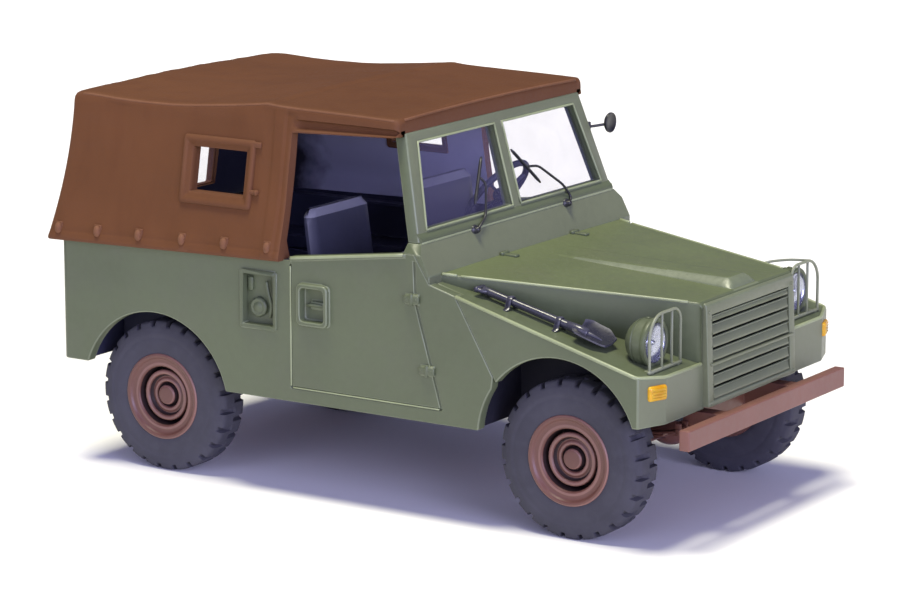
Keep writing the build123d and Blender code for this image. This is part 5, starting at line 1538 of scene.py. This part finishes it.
for x in (-4.05, -1.05):
    # strap over the handle with its foot plates and buckle
    arc = []
    for i in range(13):
        a = radians(-10 + 200 * i / 12)
        arc.append(on_wing(x, 0.40 + 0.27 * sin(a), -0.29 * cos(a)))
    arc = [on_wing(x, 0.03, -0.62)] + [on_wing(x, 0.10, -0.42)] + arc[1:-1] + [on_wing(x, 0.10, 0.42), on_wing(x, 0.03, 0.62)]
    tube(bm, arc, 0.17, 10, flat=0.28, up=(0, 0, 1))
    p = on_wing(x, 0.67)
    rbox(bm, p.x - 0.13, p.x + 0.13, p.y - 0.16, p.y + 0.16, p.z - 0.05, p.z + 0.05, 0.03)
settle(bm, "shovel_with_straps", "car", [tool], rep=("shovel",), smooth=50)

bm = bmesh.new()
for s in (1, -1):
    for z, r, h in ((9.6, 0.45, 0.34), (8.4, 0.35, 0.27)):
        prof = [(r * 0.98, 0.0), (r, 0.06), (r, h * 0.6), (r * 0.93, h * 0.85), (r * 0.7, h * 0.97), (r * 0.35, h), (0.02, h * 1.01)]
        lathe(bm, prof, lambda rr, a, hh, s=s, z=z: (-34.0 - hh, s * 9.55 + rr * cos(a), z + rr * sin(a)), 32, start=True, end=True)
        for k in range(3):
            lathe(bm, [(r * (0.3 + 0.22 * k), h * 0.90), (r * (0.34 + 0.22 * k), h * (1.04 - 0.03 * k)), (r * (0.38 + 0.22 * k), h * 0.88)],
                  lambda rr, a, hh, s=s, z=z: (-34.0 - hh, s * 9.55 + rr * cos(a), z + rr * sin(a)), 32, closed=True)
settle(bm, "tail_lamp_lenses", "car", [red], rep=("tail_lamps",), smooth=50)


# ----------------------------------------------------- cabin and chassis ---
def plain(node, mat, want=0.07, tol=0.8, extra=None, share=0.38, seg=2, pick=None):
    return from_cad(node, node + "_moulding", "car", [mat], want=want, tol=tol, extra=extra, share=share, seg=seg, pick=pick)


def floor_extra(bm):
    # ribs pressed into the floor
    for y in (-8.6, -7.2, -5.8, -4.4, -3.0, 3.0, 4.4, 5.8, 7.2, 8.6):
        tube(bm, [(x, y, 6.80) for x in (-12.4, -11.2, -10.2)], 0.16, 8, flat=0.7)
    for y in (-5.0, -3.0, -1.0, 1.0, 3.0, 5.0):
        tube(bm, [(x, y, 6.80) for x in (-32.4, -28.5, -24.5, -20.8)], 0.18, 8, flat=0.7)


plain("cabin_floor", cabin, extra=floor_extra)
# wheelhouse liners in near-black as painted shade
plain("wheelhouse_liners", liner_painted_shade, want=0.05)


def build_seats():
    bm = bmesh.new()
    for s in (1, -1):
        c = s * 5.55
        # cushion: crowned slab with a sewn channel look moulded in
        rings = []
        for i in range(15):
            t = i / 14
            x = lerp(-17.5, -12.75, t)
            edge = min(t, 1 - t)
            r = 0.34 * (1 - sqrt(max(0.0, 1 - (1 - clamp(edge * 14)) ** 2)))
            ring = []
            for k in range(20):
                q = k / 19 * 2 - 1
                y = c + q * (3.05 - r)
                crown = 0.20 * (1 - q * q) * (1 - (2 * t - 1) ** 2) - 0.05 * max(0.0, 1 - abs(abs(q) - 0.62) * 14)
                roll = 0.30 * (1 - sqrt(max(0.0, 1 - clamp((abs(q) - 0.88) / 0.12) ** 2)))
                ring.append((x, y, 10.28 + 0.25 * t - r + crown - roll))
            for k in range(20):
                q = 1 - k / 19 * 2
                ring.append((x, c + q * (2.95 - r), 8.75 + 0.1 * t))
            rings.append(ring)
        loft(bm, rings, cap0=True, cap1=True)
        # back
        rings = []
        for i in range(17):
            t = i / 16
            z = lerp(9.2, 16.20, t)
            edge = clamp((1 - t) * 12)
            r = 0.42 * (1 - sqrt(max(0.0, 1 - (1 - edge) ** 2)))
            lean = -16.95 - 0.13 * (z - 9.2)
            ring = []
            for k in range(18):
                q = k / 17 * 2 - 1
                crown = 0.16 * (1 - q * q) * sin(pi * clamp(t * 1.05)) - 0.05 * max(0.0, 1 - abs(abs(q) - 0.60) * 12)
                roll = 0.26 * (1 - sqrt(max(0.0, 1 - clamp((abs(q) - 0.88) / 0.12) ** 2)))
                ring.append((lean + crown - roll - r * 0.4, c + q * (3.02 - r), z))
            for k in range(18):
                q = 1 - k / 17 * 2
                roll = 0.26 * (1 - sqrt(max(0.0, 1 - clamp((abs(q) - 0.88) / 0.12) ** 2)))
                ring.append((lean - 0.72 + roll + r * 0.4, c + q * (3.02 - r), z))
            rings.append(ring)
        loft(bm, rings, cap0=True, cap1=True)
        # tubular stand
        for y in (c - 2.2, c + 2.2):
            tube(bm, round_path([(-17.3, y, 6.85), (-17.3, y, 8.75), (-13.3, y, 8.85), (-13.3, y, 6.85)], 0.5, 5), 0.20, 10)
        rbox(bm, -17.8, -12.9, c - 2.6, c + 2.6, 6.78, 7.05, 0.06)
    # faces high on the seat backs take the pale grey as a painted highlight
    for f in bm.faces:
        q = f.calc_center_median()
        if q.z > 15.93:
            f.material_index = 1
    return bm


settle(build_seats(), "front_seats_moulded", "car", [seatmat, seat_top_painted_highlight], rep=("front_seats",), smooth=50)
plain("rear_benches", cabin, want=0.16, seg=3)


def dash_extra(bm):
    for y, z, r in ((4.5, 13.7, 0.80), (0.0, 13.6, 0.50), (1.4, 13.6, 0.50)):
        lathe(bm, [(r * 1.12, 0.0), (r * 1.12, 0.10), (r * 1.04, 0.16), (r * 0.94, 0.14), (r * 0.92, 0.06), (0.02, 0.06)],
              lambda rr, a, h, y=y, z=z: (-11.05 - h, y + rr * cos(a), z + rr * sin(a)), 32, start=True, end=True)
    for i in range(6):
        y = -1.6 - 0.8 * i
        lathe(bm, [(0.17, 0.0), (0.17, 0.2), (0.12, 0.28), (0.02, 0.30)], lambda rr, a, h, y=y: (-10.90 - h, y + rr * cos(a), 13.1 + rr * sin(a)), 14, start=True, end=True)
    rbox(bm, -11.02, -10.8, -8.9, -5.3, 13.0, 14.3, 0.08)
    tube(bm, [(-11.05, -8.5, 13.62), (-11.15, -7.1, 13.62), (-11.05, -5.7, 13.62)], 0.09, 10)
    tube(bm, [(-10.85, y, 14.62) for y in (-9.6, -5.0, 0.0, 5.0, 9.6)], 0.16, 12)


plain("dashboard", cabin, extra=dash_extra)

bm = bmesh.new()
C = Vector((-13.6, 4.50, 15.75))
rk = radians(38)
NV = Vector((-cos(rk), 0, sin(rk)))
U1 = Vector((0, 1, 0))
U2 = NV.cross(U1).normalized()
tube(bm, [C + (U1 * cos(2 * pi * i / 48) + U2 * sin(2 * pi * i / 48)) * 2.32 for i in range(48)], 0.20, 14, closed=True)
for a in (90, 210, 330):
    d = U1 * cos(radians(a)) + U2 * sin(radians(a))
    tube(bm, spline([C - NV * 0.25 + d * 0.3, C - NV * 0.18 + d * 1.2, C + d * 2.3], 5), 0.13, 10, flat=0.7)
lathe(bm, [(0.02, 0.10), (0.20, 0.10), (0.32, 0.04), (0.40, -0.06), (0.44, -0.22), (0.36, -0.42), (0.24, -0.5), (0.22, -0.9), (0.21, -3.9)],
      lambda r, a, h: C + NV * h + (U1 * cos(a) + U2 * sin(a)) * r, 28, start=True, end=True)
settle(bm, "steering_wheel_rim", "car", [cabin], rep=("steering_wheel",), smooth=60)

bm = bmesh.new()
for x, y, h in [(-12.4, 0.5, 3.6), (-14.2, -0.6, 2.6), (-15.6, 0.2, 2.2)]:
    tube(bm, spline([(x, y, 8.30), (x - 0.05, y, 8.3 + h * 0.5), (x - 0.5, y, 8.30 + h)], 5), [0.16] * 5 + [0.12] * 6, 12)
    dome(bm, (x - 0.5, y, 8.30 + h), 0.26, 0.26, 0.30, 16, 10)
    lathe(bm, [(0.55, 0.0), (0.50, 0.10), (0.34, 0.22), (0.30, 0.34), (0.20, 0.42), (0.14, 0.46)], lambda r, a, hh, x=x, y=y: (x + r * cos(a), y + r * sin(a), 8.29 + hh), 20, start=True, end=True)
settle(bm, "lever_group", "car", [cabin], rep=("levers",), smooth=60)


def frame_extra(bm):
    for s in (1, -1):
        for x in [-32.0 + 2.6 * i for i in range(13)]:
            for z in (5.2, 5.85):
                bolt(bm, (x, s * 4.59, z), (0, s, 0), 0.09, 0.06)


plain("chassis_frame", redbrown, want=0.06, extra=frame_extra)


def build_springs():
    bm = bmesh.new()
    for x0 in (0.0, -WB):
        for s in (1, -1):
            ya, yb = s * 4.78, s * 5.42
            for k in range(4):
                L = 4.35 - 0.95 * k
                top, low = [], []
                for i in range(17):
                    u = -1 + i / 8
                    z = 5.30 - 0.13 * k + 0.50 * (u * L / 4.35) ** 2
                    top.append((x0 + u * L, z))
                    low.append((x0 + u * L, z - 0.115))
                prism(bm, top + list(reversed(low)), along_y, ya, yb)
            for e in (-4.35, 4.35):
                tube(bm, [(x0 + e, s * 4.62, 5.76), (x0 + e, s * 5.1, 5.76), (x0 + e, s * 5.50, 5.76)], 0.22, 14)
                rbox(bm, x0 + e - 0.20, x0 + e + 0.20, s * 4.66, s * 4.80, 5.60, 6.20, 0.04)
                rbox(bm, x0 + e - 0.20, x0 + e + 0.20, s * 5.40, s * 5.52, 5.55, 6.20, 0.04)
            for dx in (-0.95, 0.95):
                tube(bm, round_path([(x0 + dx, s * 4.70, 4.62), (x0 + dx, s * 4.70, 5.46), (x0 + dx, s * 5.50, 5.46), (x0 + dx, s * 5.50, 4.62)], 0.15, 4), 0.075, 8)
            rbox(bm, x0 - 1.15, x0 + 1.15, s * 4.66, s * 5.54, 4.80, 4.92, 0.03)
            rbox(bm, x0 - 1.15, x0 + 1.15, s * 4.66, s * 5.54, 5.34, 5.44, 0.03)
    return bm


settle(build_springs(), "leaf_springs_stacked", "car", [redbrown], rep=("leaf_springs",), bevel=0.02, seg=1, smooth=44)


def gearbox_extra(bm):
    for x in (-14.9, -13.9, -12.9):
        for y in (-1.65, 1.65):
            bolt(bm, (x, y, 4.21), (0, 0, -1), 0.12, 0.08)
    for x in (-11.8, -10.2, -8.6, -6.2, -5.0):
        for s in (1, -1):
            bolt(bm, (x, s * 0.95, 4.61), (0, 0, -1), 0.10, 0.07)
    for x in (-3.4, -2.2, -1.0, 0.2):
        rbox(bm, x, x + 0.5, -1.72, 1.72, 6.1, 8.9, 0.06)


plain("gearbox", redbrown, want=0.12, seg=3, extra=gearbox_extra)


def prop_extra(bm):
    for (xa, ya, za), (xb, yb, zb2) in (((-12.3, 1.5, 4.74), (-1.7, 1.5, 4.51)), ((-15.4, 0.0, 4.90), (-25.9, 0.0, 4.51))):
        for x, y, z in ((xa, ya, za), (xb, yb, zb2)):
            lathe(bm, [(0.02, -0.28), (0.34, -0.28), (0.46, -0.16), (0.46, 0.16), (0.34, 0.28), (0.02, 0.28)], lambda r, a, h, x=x, y=y, z=z: (x + h, y + r * cos(a), z + r * sin(a)), 20, start=True, end=True)


plain("prop_shafts", redbrown, want=0.04, extra=prop_extra)

bm = bmesh.new()
muf = [(0.02, -21.35), (0.30, -21.33), (0.42, -21.30), (0.62, -21.22), (0.70, -21.10), (0.70, -20.6), (0.665, -20.5), (0.665, -17.0), (0.70, -16.9), (0.70, -16.4), (0.60, -16.27), (0.30, -16.20), (0.02, -16.18)]
lathe(bm, muf, lambda r, a, h: (h, -2.65 + r * cos(a), 5.45 + r * sin(a)), 36, start=True, end=True)
tube(bm, spline([(-16.3, -2.65, 5.45), (-13.0, -2.65, 5.45), (-10.0, -2.62, 5.48), (-9.2, -2.60, 5.50)], 5), 0.24, 16)
tube(bm, spline([(-21.2, -2.65, 5.45), (-22.0, -2.72, 5.42), (-23.2, -2.9, 5.35)], 5), 0.22, 16)
for x in (-20.2, -17.4):
    lathe(bm, [(0.72, -0.10), (0.75, -0.06), (0.75, 0.06), (0.72, 0.10), (0.60, 0.10), (0.60, -0.10)], lambda r, a, h, x=x: (x + h, -2.65 + r * cos(a), 5.45 + r * sin(a)), 36, closed=True)
settle(bm, "exhaust_with_box", "car", [redbrown], rep=("exhaust",), smooth=50)


def axle_extra(x0, dy):
    def build(bm):
        lathe(bm, [(0.02, -1.50), (0.55, -1.47), (0.85, -1.36), (1.05, -1.18), (1.15, -1.02), (1.20, -0.85), (1.0, -0.8)],
              lambda r, a, h: (x0 + h, dy + r * cos(a), AXLE_Z + r * sin(a)), 32, start=True, end=True)
        for i in range(8):
            a = 2 * pi * i / 8
            bolt(bm, (x0 - 1.06, dy + 1.06 * cos(a), AXLE_Z + 1.06 * sin(a)), (-1, 0, 0), 0.09, 0.08)
        for s in (1, -1):
            for i in range(8):
                a = 2 * pi * i / 8
                bolt(bm, (x0 + 0.95 * cos(a), s * 6.76, AXLE_Z + 0.95 * sin(a)), (0, -s, 0), 0.08, 0.07)
    return build


plain("front_axle_case", redbrown, want=0.05, extra=axle_extra(0.0, 1.5))
plain("rear_axle_case", redbrown, want=0.05, extra=axle_extra(-WB, 0.0))

bm = bmesh.new()
rbox(bm, -34.10, -33.0, -0.62, 0.62, 5.05, 6.05, 0.10, 3)
pts = spline([(-33.9, 0, 5.34), (-34.5, 0, 5.32), (-34.82, 0, 5.45), (-34.86, 0, 5.80), (-34.70, 0, 6.02)], 5)
tube(bm, pts, [0.24] * 10 + [0.20] * 6 + [0.15] * (len(pts) - 16), 14)
for y in (-0.4, 0.4):
    for z in (5.25, 5.85):
        bolt(bm, (-34.09, y, z), (-1, 0, 0), 0.09, 0.07)
settle(bm, "coupling_hook_forged", "car", [redbrown], rep=("coupling_hook",), smooth=50)


# -------------------------------------------------- floor, light, camera ---
m = Mat("studio_floor")
tone = m.noise(6.0, 2.0, 0.5)
floor_mat = m.done(m.body(m.mix(m.span(tone, 0.3, 0.7), rgb(0.86, 0.86, 0.87), rgb(0.88, 0.88, 0.89)), m.span(tone, 0.3, 0.7, 0.85, 0.9), None, Specular_IOR_Level=0.1))
bm = bmesh.new()
bmesh.ops.create_grid(bm, x_segments=8, y_segments=8, size=3.0)
me = bpy.data.meshes.new("studio_ground")
bm.to_mesh(me)
bm.free()
me.materials.append(floor_mat)
ground = bpy.data.objects.new("studio_ground", me)
scene.collection.objects.link(ground)

world = bpy.data.worlds.new("studio")
scene.world = world
world.use_nodes = True
bg = world.node_tree.nodes["Background"]
bg.inputs["Color"].default_value = (0.60, 0.60, 1.0, 1.0)
bg.inputs["Strength"].default_value = 0.24


def sun(name, towards, strength, colour, angle):
    """Soft distant light; towards is the direction from the object to the light."""
    d = bpy.data.lights.new(name, "SUN")
    d.energy = strength
    d.color = colour
    d.angle = radians(angle)
    o = bpy.data.objects.new(name, d)
    scene.collection.objects.link(o)
    o.rotation_mode = "QUATERNION"
    o.rotation_quaternion = Vector(towards).to_track_quat("Z", "Y")
    o.location = Vector(towards).normalized() * 0.5
    return o


sun("key_overhead", (-0.07, -0.12, 1.0), 3.75, (1.0, 0.97, 0.75), 18.0)
sun("fill_front", (0.86, -0.42, 0.20), 3.2, (0.62, 0.61, 1.0), 38.0)
sun("fill_side", (0.10, -0.94, 0.28), 1.25, (0.64, 0.64, 1.0), 50.0)

cam_data = bpy.data.cameras.new("camera")
cam = bpy.data.objects.new("camera", cam_data)
scene.collection.objects.link(cam)
cam_data.sensor_width = 36.0
cam_data.lens = 141.03
cam_data.clip_start = 0.002
cam_data.clip_end = 20.0
cam.location = (0.10910, -0.16825, 0.05220)
aim = Vector((0.004328, -0.006639, 0.011668)) - Vector(cam.location)
cam.rotation_mode = "QUATERNION"
cam.rotation_quaternion = aim.to_track_quat("-Z", "Y")
scene.camera = cam
scene.view_settings.view_transform = "Standard"
scene.view_settings.look = "None"
